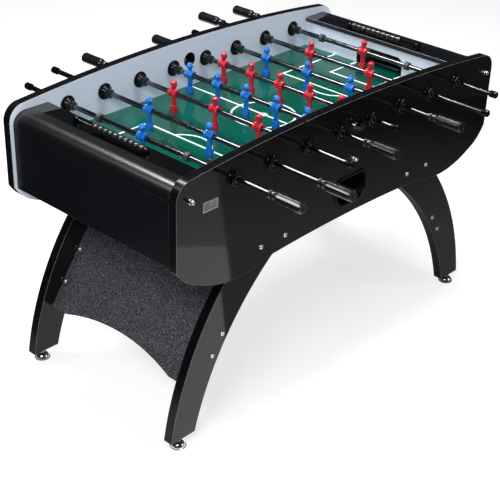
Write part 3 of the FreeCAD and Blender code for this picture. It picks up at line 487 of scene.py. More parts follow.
# Leg battens are coloured near-black.
battenNearBlack = plastic("battenNearBlack", (0.003, 0.003, 0.003), (0.008, 0.008, 0.008), 0.5, 0.7)
greyPlastic = plastic("greyPlastic", (0.12, 0.12, 0.125), (0.20, 0.20, 0.21), 0.5, 0.65)
nylon = plastic("bearingNylon", (0.06, 0.06, 0.065), (0.12, 0.12, 0.13), 0.4, 0.55)
bluePlastic = plastic(
    "bluePlastic", (0.0, 0.125, 0.50), (0.0, 0.175, 0.62), 0.16, 0.24, 0.5, 0.06, 700, 0.00006, 0.2,
)
redPlastic = plastic(
    "redPlastic", (0.44, 0.004, 0.020), (0.58, 0.008, 0.034), 0.16, 0.24, 0.5, 0.06, 700, 0.00006,
    0.2,
)
beadGloss = plastic(
    "counterGloss", (0.0025, 0.0025, 0.003), (0.007, 0.007, 0.008), 0.16, 0.24, 1.0, 0.10,
)
plateSilver = plastic(
    "plateSilver", (0.20, 0.20, 0.215), (0.28, 0.28, 0.30), 0.3, 0.42, 0.1, 0.3, 1200, 0.00003,
    0.2, 0.6,
)
plateFrame = plastic(
    "plateFrame", (0.55, 0.55, 0.58), (0.68, 0.68, 0.71), 0.2, 0.3, 0.1, 0.3, 1200, 0.00003,
    0.2, 0.6,
)
print("finishes mixed")


# Cabinet boards: the frame's boards with rounded edges and their own faces.
boards = {
    "edge": 0.0020, "wallEdge": 0.0008, "crossEdge": 0.001, "frameEdge": 0.0006,
    "innerY": 0.344, "outerY": 0.374,
}

for word, side in (("near", -1), ("far", 1)):
    panel = refined("side_panel_" + word, "sidePanel" + word.title())
    painted(panel, [glossBlack, silver, edgeBand, paintedEdgeHighlight], lambda centre, normal:
            0 if normal.y * side > 0.9 else 1 if normal.y * side < -0.9 else 2)
    # The bevel faces take the light grey painted edge highlight.
    rounded(panel, boards["edge"], 2, 45, 3)
    evened(panel)
    settle(panel, "table", "gloss_black_panel", "side_panel_" + word)

for word in ("left", "right"):
    ply = refined("end_panel_" + word, "endPanel" + word.title())
    painted(ply, [satinBlack])
    rounded(ply, boards["edge"], 2, 45)
    evened(ply)
    settle(ply, "table", "satin_black_laminate", "end_panel_" + word)

    wall = refined("goal_wall_" + word, "goalWall" + word.title())
    painted(wall, [silver])
    rounded(wall, boards["wallEdge"], 2, 45)
    evened(wall)
    settle(wall, "table", "silver_laminate", "goal_wall_" + word)

    legs = refined("legs_" + word, "legs" + word.title())
    painted(legs, [glossBlack, edgeBand, paintedEdgeHighlight],
            lambda centre, normal: 0 if abs(normal.y) > 0.9 else 1)
    # The bevel faces take the light grey painted edge highlight.
    rounded(legs, boards["edge"], 2, 45, 2)
    evened(legs)
    settle(legs, "table", "gloss_black_panel", "legs_" + word)

crossPanel = refined("leg_panel", "legCrossPanel")
painted(crossPanel, [speckled, edgeBand],
        lambda centre, normal: 0 if abs(normal.x * normal.z) > 0.3 else 1)
rounded(crossPanel, boards["crossEdge"], 2, 45, 1)
evened(crossPanel)
settle(crossPanel, "table", "speckled_charcoal", "leg_panel")

topBoard = {
    "innerX": 0.599, "topZ": 0.884, "satinX": 0.662, "trimIn": 0.0022, "trimProud": 0.0012,
    "trimHighlightLine": 0.0009, "edge": 0.0009, "trimMiddle": 0.008, "trimReach": 0.0075,
}
for word, end in (("left", -1), ("right", 1)):
    board = refined("top_board_" + word, "topBoard" + word.title())
    painted(board, [boardGloss, boardSatin, boardTrim, paintedEdgeHighlight])
    openMesh(board)
    bpy.ops.mesh.select_all(action="SELECT")
    bpy.ops.mesh.bisect(plane_co=(end * topBoard["satinX"], 0, 0), plane_no=(1, 0, 0))
    closeMesh()
    chooseFaces(board, lambda centre, normal: normal.x * end < -0.9
                and abs(abs(centre.x) - topBoard["innerX"]) < 0.001)
    bpy.ops.mesh.inset(thickness=topBoard["trimHighlightLine"])
    bpy.ops.mesh.inset(thickness=topBoard["trimIn"])
    bpy.ops.transform.translate(value=(-end * topBoard["trimProud"], 0, 0))
    closeMesh()
    repainted(board, 1, lambda centre, normal: abs(centre.x) > topBoard["satinX"])
    repainted(board, 2, lambda centre, normal: abs(centre.x) < topBoard["innerX"] + 0.0005)
    # Thin strips at the top and bottom of the trim get the light grey painted edge highlight.
    repainted(board, 3, lambda centre, normal: abs(centre.x) < topBoard["innerX"] + 0.0005
              and normal.x * end < -0.9
              and abs(abs(centre.z - topBoard["topZ"] + topBoard["trimMiddle"])
                      - topBoard["trimReach"]) < 0.0006)
    rounded(board, topBoard["edge"], 2, 45)
    evened(board)
    settle(board, "table", "satin_black_laminate", "top_board_" + word)

frames = refined("goal_frames", "goalFrames")
painted(frames, [blackPlastic])
rounded(frames, boards["frameEdge"], 2, 40)
smoothed(frames, 30)
settle(frames, "table", "black_plastic", "goal_frames")

nodes["playfield"].data.materials[0] = greenField
nodes["field_supports"].data.materials[0] = fibreboard
nodes["leg_brackets"].data.materials[0] = battenNearBlack
nodes["ball_ramps"].data.materials[0] = greyPlastic
for number in range(1, 9):
    nodes["liner_%d" % number].data.materials[0] = nylon
print("cabinet boards finished")


# Ball returns and serve cups.
pockets = {"rimEdge": 0.0018, "cupEdge": 0.0012}
returns = refined("return_cups", "returnCups")
painted(returns, [blackPlastic, darkPocket],
        lambda centre, normal: 0 if abs(centre.y) > boards["outerY"] - 0.001 else 1)
rounded(returns, pockets["rimEdge"], 3, 40)
smoothed(returns, 30)
settle(returns, "table", "black_plastic", "return_cups")

serves = refined("serve_cups", "serveCups")
painted(serves, [blackPlastic])
rounded(serves, pockets["cupEdge"], 2, 45)
smoothed(serves, 30)
settle(serves, "table", "black_plastic", "serve_cups")
print("ball returns finished")


# Bearings: a ribbed nose on a flat disc inside, a washer and a hexagon nut outside.
rodLayout = {
    "pitch": 0.150, "height": 0.857, "radius": 0.008, "inner": 0.344, "outer": 0.374,
    "kinds": ["keeper", "two", "three", "five", "five", "three", "two", "keeper"],
    "gripSides": [-1, -1, 1, -1, 1, -1, 1, 1],
    "rest": [0, 0.004, 0, 0.008, 0, 0.012, -0.004, 0.012],
    "travel": {"keeper": 0.1135, "two": 0.164, "three": 0.111, "five": 0.039},
    "men": {"keeper": [0], "two": [-0.131, 0.131], "three": [-0.184, 0, 0.184],
            "five": [-0.256, -0.128, 0, 0.128, 0.256]},
}


def rodX(index):
    return (index - 3.5) * rodLayout["pitch"]


bearing = {
    "flange": [
        (0.01106, 0.0), (0.0270, 0.0), (0.0270, -0.0022), (0.0256, -0.0040), (0.0182, -0.0041),
        (0.0176, -0.0048), (0.0178, -0.0068), (0.0170, -0.0080), (0.0160, -0.0082),
        (0.0162, -0.0104), (0.0156, -0.0120), (0.0146, -0.0122), (0.0147, -0.0144),
        (0.0140, -0.0160), (0.0130, -0.0162), (0.0128, -0.0225), (0.0129, -0.0240),
        (0.0140, -0.0280), (0.0142, -0.0310), (0.0136, -0.0320), (0.0118, -0.0320),
        (0.01106, -0.0314),
    ],
    "sleeve": [
        (0.01106, -0.002), (0.0170, -0.002), (0.0170, 0.0425), (0.0162, 0.0430), (0.01106, 0.0430),
    ],
    "washer": [
        (0.01706, 0.0), (0.0246, 0.0), (0.0250, 0.0006), (0.0246, 0.0020), (0.0200, 0.0022),
        (0.01706, 0.0022),
    ],
    "nut": [
        (0.01706, 0.0020), (0.0240, 0.0020), (0.0254, 0.0030), (0.0254, 0.0125),
        (0.0238, 0.0140), (0.01706, 0.0140),
    ],
    "edge": 0.0004,
}
flangePattern = turned("flangePattern", bearing["flange"], 44, True)
rounded(flangePattern, bearing["edge"], 1, 40)
sleevePattern = turned("sleevePattern", bearing["sleeve"], 40, True)
flangePattern = smoothed(joined("flangePattern", [flangePattern, sleevePattern]), 32)
painted(flangePattern, [blackPlastic])

washerPattern = turned("washerPattern", bearing["washer"], 44, True)
nutPattern = turned("nutPattern", bearing["nut"], 6, True)
rounded(nutPattern, bearing["edge"], 2, 40)
nutPattern = smoothed(joined("nutPattern", [nutPattern, washerPattern]), 30)
painted(nutPattern, [blackPlastic])

flanges, nuts = [], []
for index in range(8):
    for side, turn in ((1, 0), (-1, math.pi)):
        place = (rodX(index), side * rodLayout["inner"], rodLayout["height"])
        flanges.append(copied(flangePattern, "flange", place, turn))
        place = (rodX(index), side * rodLayout["outer"], rodLayout["height"])
        nuts.append(copied(nutPattern, "nut", place, turn))
dropped(flangePattern, nutPattern)
settle(joined("bearingFlanges", flanges), "table", "black_plastic", "bearing_flanges")
settle(joined("bearingNuts", nuts), "table", "black_plastic", "bearing_nuts")
print("bearings finished")


# Rods, handles, end caps and stop collars, one set for each row.
gripShape = {
    "collar": [
        (0.00806, 0.0), (0.0125, 0.0), (0.0135, 0.0010), (0.0135, 0.0060), (0.0120, 0.0068),
        (0.0098, 0.0070), (0.0098, 0.0100), (0.0118, 0.0102), (0.0128, 0.0110),
        (0.0128, 0.0232), (0.0118, 0.0240), (0.0096, 0.0242), (0.0096, 0.0280), (0.00806, 0.0280),
    ],
    "handle": [
        (0.00806, 0.0268), (0.0115, 0.0270), (0.0140, 0.0278), (0.0178, 0.0345), (0.0175, 0.0560),
        (0.0173, 0.0850), (0.0182, 0.1120), (0.0180, 0.1165), (0.0160, 0.1200), (0.00806, 0.1200),
    ],
    "butt": [
        (0.0078, 0.106), (0.0082, 0.1196), (0.0060, 0.1198), (0.0052, 0.1180), (0.0020, 0.1178),
    ],
    "cap": [
        (0.00806, 0.0), (0.0108, 0.0), (0.0115, 0.0007), (0.0115, 0.0195), (0.0108, 0.0225),
        (0.0088, 0.0240), (0.0035, 0.0240),
    ],
    "stop": [
        (0.00806, -0.0080), (0.0130, -0.0080), (0.0140, -0.0070), (0.0140, 0.0070),
        (0.0130, 0.0080), (0.00806, 0.0080),
    ],
    "edge": 0.0006, "facetEdge": 0.0011, "gap": 0.002, "fiveGap": 0.050, "tail": 0.047,
    "fiveTail": 0.005, "nutFace": 0.388, "stopAt": 0.190, "capLong": 0.024, "capSeat": 0.020,
    "handleSeat": 0.104,
}


def handlePattern():
    collar = turned("collarPart", gripShape["collar"], 36, True)
    handle = turned("handlePart", gripShape["handle"], 8, True)
    handle.data.transform(Matrix.Rotation(math.pi / 8, 4, "Y"))
    rounded(handle, gripShape["facetEdge"], 3, 30)
    butt = turned("buttPart", gripShape["butt"], 32)
    rounded(collar, gripShape["edge"], 1, 40)
    for part, finish, angle in (
        (butt, blackPlastic, 32), (collar, gripPlastic, 32), (handle, gripPlastic, 24),
    ):
        smoothed(painted(part, [finish]), angle)
    return joined("handlePattern", [handle, collar, butt])


gripPattern = handlePattern()
capPattern = painted(smoothed(turned("capPattern", gripShape["cap"], 36), 32), [blackPlastic])
stopPattern = turned("stopPattern", gripShape["stop"], 36, True)
painted(smoothed(stopPattern, 32), [collarPlastic])
rodEnds = {"chamfer": 0.0006, "sides": 48}
for index, kind in enumerate(rodLayout["kinds"]):
    number = index + 1
    body = "rod_body_%d" % number
    x, shift, side = rodX(index), rodLayout["rest"][index], rodLayout["gripSides"][index]
    reach = gripShape["nutFace"] + rodLayout["travel"][kind]
    gripAt = reach + gripShape["gap"]
    capAt = reach + gripShape["tail"] - gripShape["capLong"]
    if kind == "five":
        gripAt += gripShape["fiveGap"]
        capAt += gripShape["fiveTail"]
    low, high = -(capAt + gripShape["capSeat"]), gripAt + gripShape["handleSeat"]
    radius, cutBack = rodLayout["radius"], rodEnds["chamfer"]
    rod = turned("rodBar%d" % number, [
        (radius - cutBack, low), (radius, low + cutBack),
        (radius, high - cutBack), (radius - cutBack, high),
    ], rodEnds["sides"])
    spin = math.pi if side < 0 else 0
    rod.data.transform(
        Matrix.Translation((x, shift, rodLayout["height"])) @ Matrix.Rotation(spin, 4, "Z")
    )
    painted(rod, [chrome])
    smoothed(rod, 30)
    settle(rod, body, "chrome", "rod_%d" % number)
    fittings = [
        copied(gripPattern, "grip", (x, side * gripAt + shift, rodLayout["height"]), spin),
        copied(capPattern, "cap", (x, -side * capAt + shift, rodLayout["height"]), math.pi - spin),
    ]
    if kind == "keeper":
        for stopSide in (-1, 1):
            place = (x, stopSide * gripShape["stopAt"] + shift, rodLayout["height"])
            fittings.append(copied(stopPattern, "stop", place))
    settle(joined("handleSet%d" % number, fittings), body, "black_rubber", "grip_%d" % number)
dropped(gripPattern, capPattern, stopPattern)
print("rods and handles finished")


# Figures. One of each team is modelled round the rod axis, facing +X, then copied.
def ball(place, radii, rings=16):
    letGo()
    bpy.ops.mesh.primitive_uv_sphere_add(
        segments=rings * 2, ring_count=rings, radius=1, location=place
    )
    piece = bpy.context.object
    piece.name = "ball"
    piece.scale = radii
    settlePlace(piece)
    return piece


def tapered(place, low, high, tall, squash):
    letGo()
    bpy.ops.mesh.primitive_cone_add(
        vertices=32, radius1=low, radius2=high, depth=tall, location=place
    )
    piece = bpy.context.object
    piece.scale = (squash, 1, 1)
    settlePlace(piece)
    return piece


figureShape = {
    "barrel": 0.0124, "chest": (0.0140, 0.0112, 0.0136), "discRadius": 0.0140, "discIn": 0.0127,
    "discOut": 0.0165, "bore": 0.0083, "screw": 0.0029, "sockAt": -0.0320,
    "footTop": -0.0420, "sole": -0.0700, "footHalfX": 0.0075, "footHalfY": 0.0115,
    "footEdge": 0.0006, "gridTop": -0.0462, "gridLow": -0.0632, "ribTop": -0.0640,
    "ribCuts": 13, "ribPitch": 0.0016, "drillReach": 0.02,
    "bodyVoxel": 0.0007, "headVoxel": 0.0005, "bodyKeep": 0.26, "headKeep": 0.34,
}


def fusedShape(name, parts, voxel, keep, smoothing):
    piece = joined(name, parts)
    modified(piece, "REMESH", mode="VOXEL", voxel_size=voxel)
    modified(piece, "SMOOTH", factor=0.5, iterations=smoothing)
    modified(piece, "DECIMATE", ratio=keep)
    return piece


def figureBody(team):
    shape = figureShape
    parts = [ball((0, 0, -0.0002), shape["chest"], rings=20)]
    parts.append(turned("barrel", [(shape["barrel"], -0.0150), (shape["barrel"], 0.0150)], 48))
    for side in (-1, 1):
        inside, outside = side * shape["discIn"], side * shape["discOut"]
        parts.append(turned("disc", [
            (shape["discRadius"] - 0.0008, inside),
            (shape["discRadius"], inside + side * 0.0008),
            (shape["discRadius"], outside - side * 0.0010),
            (shape["discRadius"] - 0.0012, outside),
        ], 48))
        parts.append(ball((0, side * 0.0146, 0.0128), (0.0062, 0.0020, 0.0024)))
        parts.append(ball((0, side * 0.0090, 0.0112), (0.0070, 0.0052, 0.0040)))
        parts.append(tapered((0, side * 0.0043, -0.0290), 0.0042, 0.0050, 0.0360, 1.15))
        parts.append(ball((0.0006, side * 0.0043, -0.0240), (0.0054, 0.0042, 0.0130)))
        parts.append(ball((-0.0008, side * 0.0043, -0.0365), (0.0052, 0.0044, 0.0085)))
        parts.append(ball((0.0012, side * 0.0046, -0.0440), (0.0060, 0.0046, 0.0040)))
        parts.append(turned("sock", [(0.0046, 0), (0.0050, 0.0005), (0.0046, 0.0010)], 24))
        parts[-1].data.transform(
            Matrix.Translation((-0.0002, side * 0.0043, shape["sockAt"]))
            @ Matrix.Rotation(math.pi / 2, 4, "X")
        )
    parts.append(tapered((0, 0, 0.0132), 0.0128, 0.0052, 0.0080, 0.82))
    parts.append(tapered((0, 0, 0.0180), 0.0052, 0.0048, 0.0090, 1.0))
    if team == "red":
        for side in (-1, 1):
            wing = ball((0.0062, side * 0.0032, 0.0152), (0.0016, 0.0036, 0.0011))
            wing.data.transform(
                Matrix.Translation((0, 0, 0.0008)) @ Matrix.Rotation(side * 0.02, 4, "X")
            )
            parts.append(wing)
    letGo()
    bpy.ops.mesh.primitive_torus_add(
        location=(0.0002, 0, 0.0166), major_radius=0.0056, minor_radius=0.0011,
        major_segments=40, minor_segments=10,
    )
    settlePlace(bpy.context.object)
    parts.append(bpy.context.object)
    return fusedShape("figureBody", parts, shape["bodyVoxel"], shape["bodyKeep"], 2)


def drilled(piece, radius, turn):
    reach = figureShape["drillReach"]
    drill = turned("drill", [(radius, -reach), (radius, reach)], 28)
    drill.data.transform(Matrix.Rotation(turn, 4, "Z"))
    modified(piece, "BOOLEAN", operation="DIFFERENCE", solver="EXACT", object=drill)
    dropped(drill)


def figureFoot():
    shape = figureShape
    letGo()
    tall = shape["footTop"] - shape["sole"]
    middle = (shape["footTop"] + shape["sole"]) / 2
    bpy.ops.mesh.primitive_cube_add(size=2, location=(0, 0, middle))
    foot = bpy.context.object
    foot.scale = (shape["footHalfX"], shape["footHalfY"], tall / 2)
    settlePlace(foot)
    openMesh(foot)
    bpy.ops.mesh.select_all(action="SELECT")
    for height in (shape["gridTop"], shape["gridLow"]):
        bpy.ops.mesh.bisect(plane_co=(0, 0, height), plane_no=(0, 0, 1))
        bpy.ops.mesh.select_all(action="SELECT")
    closeMesh()
    chooseFaces(foot, lambda centre, normal: normal.z < -0.9)
    bpy.ops.transform.resize(value=(0.66, 0.97, 1), center_override=(0, 0, shape["sole"]))
    closeMesh()
    chooseFaces(foot, lambda centre, normal: normal.z > 0.9)
    bpy.ops.transform.resize(value=(0.80, 0.92, 1), center_override=(0, 0, shape["footTop"]))
    closeMesh()
    chooseFaces(foot, lambda centre, normal: abs(normal.x) > 0.95
                and shape["gridLow"] < centre.z < shape["gridTop"])
    bpy.ops.mesh.inset(thickness=0.0018, use_individual=True)
    bpy.ops.mesh.subdivide(number_cuts=7)
    bpy.ops.mesh.inset(thickness=0.00042, use_individual=True)
    bpy.ops.transform.resize(value=(0.955, 1, 1), center_override=(0, 0, 0))
    closeMesh()
    chooseFaces(foot, lambda centre, normal: abs(normal.x) > 0.5 and centre.z < shape["ribTop"])
    for number in range(shape["ribCuts"]):
        across = (number - 6) * shape["ribPitch"]
        bpy.ops.mesh.bisect(plane_co=(0, across, 0), plane_no=(0, 1, 0))
        bpy.ops.mesh.select_all(action="DESELECT")
        mesh = bmesh.from_edit_mesh(foot.data)
        for face in mesh.faces:
            if abs(face.normal.x) > 0.5 and face.calc_center_median().z < shape["ribTop"]:
                face.select_set(True)
        bmesh.update_edit_mesh(foot.data)
    bpy.ops.mesh.inset(thickness=0.00028, use_individual=True)
    bpy.ops.transform.resize(value=(0.93, 1, 1), center_override=(0, 0, 0))
    closeMesh()
    rounded(foot, shape["footEdge"], 2, 50)
    return foot


headShape = {
    "skull": ((-0.0006, 0, 0.0303), (0.0100, 0.0088, 0.0112)),
    "jaw": ((0.0020, 0, 0.0232), (0.0066, 0.0062, 0.0066)),
    "chin": ((0.0070, 0, 0.0190), (0.0021, 0.0026, 0.0019)),
    "noseTip": ((0.0100, 0, 0.0262), (0.0019, 0.0015, 0.0014)),
    "noseRidge": ((0.0090, 0, 0.0284), (0.0016, 0.0009, 0.0032)),
    "upperLip": ((0.0080, 0, 0.0229), (0.0012, 0.0026, 0.0006)),
    "lowerLip": ((0.0078, 0, 0.0217), (0.0012, 0.0021, 0.0007)),
    "brow": ((0.0080, 0.0033, 0.0322), (0.0016, 0.0029, 0.0008)),
    "eye": ((0.0074, 0.0034, 0.0300), (0.0017, 0.0017, 0.0013)),
    "cheek": ((0.0058, 0.0044, 0.0262), (0.0030, 0.0026, 0.0028)),
    "ear": ((0.0004, 0.0090, 0.0285), (0.0019, 0.0010, 0.0030)),
    "curls": 120, "curlSize": 0.0021,
}


def figureHead(team):
    parts = []
    for name in ("skull", "jaw", "chin", "noseTip", "noseRidge", "upperLip", "lowerLip"):
        parts.append(ball(*headShape[name], rings=12))
    for name in ("brow", "eye", "cheek", "ear"):
        (x, y, z), radii = headShape[name]
        for side in (-1, 1):
            parts.append(ball((x, side * y, z), radii, rings=10))
    parts += curlyHair() if team == "blue" else smoothHair()
    return fusedShape("figureHead", parts, figureShape["headVoxel"], figureShape["headKeep"], 1)


def curlyHair():
    curls = []
    count = headShape["curls"]
    for number in range(count):
        lift = 1 - 2 * (number + 0.5) / count
        ring = math.sqrt(1 - lift * lift)
        around = number * math.pi * (3 - math.sqrt(5))
        x, y = ring * math.cos(around), ring * math.sin(around)
        front = x > 0.42 and lift < 0.62
        if front or lift < -0.72 or (x > 0.1 and lift < -0.25):
            continue
        size = headShape["curlSize"] * (0.82 + 0.36 * ((number * 7) % 5) / 4)
        place = (-0.0008 + 0.0098 * x, 0.0092 * y, 0.0303 + 0.0100 * lift)
        curls.append(ball(place, (size, size, size), rings=5))
    return curls


def smoothHair():
    crown = ball((-0.0016, 0, 0.0322), (0.0104, 0.0100, 0.0098), rings=16)
    fringe = ball((0.0056, 0, 0.0356), (0.0052, 0.0086, 0.0046), rings=12)
    back = ball((-0.0052, 0, 0.0268), (0.0064, 0.0088, 0.0098), rings=12)
    return [crown, fringe, back]


def figurePattern(team, finish):
    body = figureBody(team)
    drilled(body, figureShape["screw"], math.pi / 2)
    drilled(body, figureShape["bore"], 0)
    head = figureHead(team)
    foot = figureFoot()
    for part in (body, head):
        smoothed(part, 60)
    smoothed(foot, 30)
    figure = joined("figure" + team.title(), [body, head, foot])
    return painted(figure, [finish])


patterns = {"blue": figurePattern("blue", bluePlastic), "red": figurePattern("red", redPlastic)}
for team, pattern in patterns.items():
    pattern.data.calc_loop_triangles()
    print(team, "figure has", len(pattern.data.loop_triangles), "triangles")
for index, kind in enumerate(rodLayout["kinds"]):
    number = index + 1
    side = rodLayout["gripSides"][index]
    team = "blue" if side < 0 else "red"
    row = []
    for place in rodLayout["men"][kind]:
        at = (rodX(index), place + rodLayout["rest"][index], rodLayout["height"])
        row.append(copied(patterns[team], "figure", at, 0 if side < 0 else math.pi))
    settle(joined("figures%d" % number, row), "rod_body_%d" % number, team + "_plastic",
           "men_%d" % number)
dropped(*patterns.values())
print("figures finished")


# Score counters.
counter = {
    "railX": {"left": 0.641, "right": 0.623}, "height": 0.898, "half": 0.149, "shift": 0.007,
    "post": 0.014, "long": 0.022, "gap": 0.0005, "railEdge": 0.0012,
    "bead": [
        (0.00306, 0.0002), (0.0074, 0.0002), (0.0082, 0.0010), (0.0082, 0.0028), (0.0098, 0.0034),
        (0.0109, 0.0050), (0.0110, 0.0070), (0.0110, 0.0150), (0.0109, 0.0170),
        (0.0098, 0.0186), (0.0082, 0.0192), (0.0082, 0.0210), (0.0074, 0.0218), (0.00306, 0.0218),
    ],
}
rails = refined("score_rails", "scoreRails")
painted(rails, [blackPlastic])
rounded(rails, counter["railEdge"], 2, 45)
smoothed(rails, 30)
settle(rails, "table", "black_plastic", "score_rails")

beadPattern = painted(smoothed(turned("beadPattern", counter["bead"], 36, True), 34), [beadGloss])
first = counter["half"] - counter["post"] / 2 - counter["gap"]
for word, end in (("left", -1), ("right", 1)):
    beads = []
    for number in range(10):
        across = counter["shift"] + end * (first - number * counter["long"])
        place = (end * counter["railX"][word], across, counter["height"])
        beads.append(copied(beadPattern, "bead", place, 0 if end < 0 else math.pi))
    settle(joined("scoreBeads" + word.title(), beads), "counters_" + word, "counter_plastic",
           "score_beads_" + word)
dropped(beadPattern)
print("counters finished")


# Leveling feet: a spun cup, a stem and a thin hexagon nut.
footShape = {
    "x": 0.697, "y": 0.3275, "nutEdge": 0.0004,
    "cup": [
        (0.0238, 0.0), (0.0254, 0.0006), (0.0260, 0.0020), (0.0256, 0.0036), (0.0236, 0.0044),
        (0.0226, 0.0080), (0.0204, 0.0126), (0.0166, 0.0166), (0.0124, 0.0190), (0.0096, 0.0202),
    ],
    "stem": [(0.0062, 0.018), (0.0062, 0.0240)],
    "nut": [(0.0084, 0.0220), (0.0094, 0.0226), (0.0094, 0.0320), (0.0086, 0.0337)],
    "stud": [(0.0038, 0.030), (0.0040, 0.0310), (0.0040, 0.0620), (0.0034, 0.0635)],
}
footParts = [turned("foot" + part.title(), footShape[part], sides)
             for part, sides in (("cup", 44), ("stem", 32), ("nut", 6), ("stud", 24))]
rounded(footParts[2], footShape["nutEdge"], 2, 30)
footPattern = joined("footPattern", footParts)
footPattern.data.transform(Matrix.Rotation(math.pi / 2, 4, "X"))
painted(smoothed(footPattern, 32), [footChrome])
for number, (end, side) in enumerate([(-1, -1), (1, -1), (1, 1), (-1, 1)], start=1):
    foot = copied(footPattern, "levelingFoot%d" % number,
                  (end * footShape["x"], side * footShape["y"], 0))
    settle(foot, "leveler_body_%d" % number, "chrome", "leveler_%d" % number)
dropped(footPattern)
print("feet finished")


# Bolts: low round heads with a hexagon socket, and cap nuts at the panels' corners and middle.
boltShape = {
    "head": [
        (0.0078, 0.0), (0.0080, 0.0006), (0.0078, 0.0018), (0.0068, 0.0034), (0.0050, 0.0046),
        (0.0034, 0.0050),
    ],
    "socket": 0.0026, "socketDeep": 0.0024, "nutEdge": 0.0005, "crown": 0.0034,
    "capNut": [(0.0094, 0.0), (0.0100, 0.0008), (0.0100, 0.0070), (0.0090, 0.0082)],
    "capDome": [
        (0.0074, 0.0060), (0.0074, 0.0130), (0.0068, 0.0158), (0.0052, 0.0182), (0.0028, 0.0196),
        (0.0008, 0.0199),
    ],
    "corner": (0.698, 0.847), "middle": (0, 0.748), "hips": [(0.4058, 0.594), (0.3008, 0.594)],
    "crossTilt": 34.4, "crossBase": (0.656, 0.191), "crossAcross": 0.302,
    "crossHeights": [0.268, 0.363], "legHeights": [0.276, 0.336], "battenBack": 0.022,
}


def boltPattern():
    bolt = turned("boltPattern", boltShape["head"], 32)
    chooseFaces(bolt, lambda centre, normal: normal.y > 0.99 and centre.y > 0.0049)
    bpy.ops.mesh.inset(thickness=boltShape["crown"] - boltShape["socket"])
    bpy.ops.mesh.extrude_region_move(
        TRANSFORM_OT_translate={"value": (0, -boltShape["socketDeep"], 0)}
    )
    closeMesh()
    return painted(smoothed(bolt, 30), [boltChrome])


def capNutPattern():
    base = turned("capNut", boltShape["capNut"], 6)
    rounded(base, boltShape["nutEdge"], 2, 30)
    dome = turned("capDome", boltShape["capDome"], 32)
    return painted(smoothed(joined("capNutPattern", [base, dome]), 32), [footChrome])


def stood(pattern, place, outward):  # a copy with its +Y turned to a direction
    piece = copied(pattern, "bolt")
    turn = Vector((0, 1, 0)).rotation_difference(Vector(outward)).to_matrix().to_4x4()
    piece.data.transform(Matrix.Translation(place) @ turn)
    return piece


tilt = math.radians(boltShape["crossTilt"])
boltHead = boltPattern()
capNut = capNutPattern()
bolts = []
crossX, crossZ = boltShape["crossBase"]
battenX = crossX - boltShape["battenBack"] / math.cos(tilt)
middleX, middleZ = boltShape["middle"]
cornerX, cornerZ = boltShape["corner"]
for side in (-1, 1):
    face = boards["outerY"] * side
    bolts.append(stood(capNut, (middleX, face, middleZ), (0, side, 0)))
    for end in (-1, 1):
        bolts.append(stood(capNut, (end * cornerX, face, cornerZ), (0, side, 0)))
        for x, z in boltShape["hips"]:
            bolts.append(stood(boltHead, (end * x, face, z), (0, side, 0)))
        for z in boltShape["legHeights"]:
            x = battenX - math.tan(tilt) * (z - crossZ)
            bolts.append(stood(boltHead, (end * x, boards["innerY"] * side, z), (0, side, 0)))
    for z in boltShape["crossHeights"]:
        x = crossX - math.tan(tilt) * (z - crossZ)
        place = (-x, boltShape["crossAcross"] * side, z)
        bolts.append(stood(boltHead, place, (-math.cos(tilt), 0, math.sin(tilt))))
dropped(boltHead, capNut)
settle(joined("boltHeads", bolts), "table", "chrome", "cabinet_bolts")
print("bolts finished")


# Blank plate on the near side panel.
plate = {
    "x": -0.618, "z": 0.8065, "wide": 0.057, "high": 0.030, "thick": 0.0012, "frame": 0.0022,
    "sunk": 0.0005, "edge": 0.0003,
}
letGo()
bpy.ops.mesh.primitive_cube_add(
    size=1, location=(plate["x"], -boards["outerY"] - plate["thick"] / 2, plate["z"])
)
badge = bpy.context.object
badge.name = "blankPlate"
badge.scale = (plate["wide"], plate["thick"], plate["high"])
settlePlace(badge)
chooseFaces(badge, lambda centre, normal: normal.y < -0.9)
bpy.ops.mesh.inset(thickness=plate["frame"])
bpy.ops.transform.translate(value=(0, plate["sunk"], 0))
closeMesh()
painted(badge, [plateFrame, plateSilver], lambda centre, normal:
        1 if normal.y < -0.9 and abs(centre.x - plate["x"]) < 0.001
        and abs(centre.z - plate["z"]) < 0.001 else 0)
rounded(badge, plate["edge"], 2, 40)
smoothed(badge, 30)
settle(badge, "table", "chrome")
print("plate finished")


# Studio: pale floor and wall, soft lights, camera. Glowing cards on the floor, seen by reflections
# only, paint the reflections in the gloss panels: painted reflections, dimmer towards the right and
# back.
studio = {
    "floor": 60.0, "wallRadius": 29.0, "wallHigh": 40.0, "cardHeight": 0.0005,
    "floorDark": (0.42, 0.42, 0.42), "floorLight": (0.46, 0.46, 0.46), "floorGlow": 0.72,
    "worldColour": (0.50, 0.54, 0.62), "worldStrength": 0.07,
    "cardTurn": -47.638, "fadeFrom": 1.0, "fadeTo": 2.3,
    "cards": {
        "middle": {"glow": (1.05, 1.05), "outline": [
            (-1.06, -2.2), (1.06, -2.2), (1.06, -0.58), (-1.06, -0.58),
        ]},
        "leftBack": {"glow": (0.62, 0.62), "outline": [
            (-1.06, -0.58), (0, -0.58), (0, 4.6), (-1.9, 4.6), (-1.06, 0.75),
        ]},
        "middleBack": {"glow": (0.24, 0.24), "outline": [
            (0, -0.58), (1.06, -0.58), (1.06, 0.75), (1.9, 4.6), (0, 4.6),
        ]},
        "rightFront": {"glow": (0.58, 0.14), "outline": [
            (1.06, -2.2), (2.6, -2.2), (2.6, -0.58), (1.06, -0.58),
        ]},
        "rightBack": {"glow": (0.27, 0.01), "outline": [
            (1.06, -0.58), (2.6, -0.58), (2.6, 4.6), (1.9, 4.6), (1.06, 0.75),
        ]},
    },
}
letGo()
bpy.ops.mesh.primitive_plane_add(size=studio["floor"], location=(0, 0, 0))
floor = bpy.context.object
floor.name = "studioFloor"
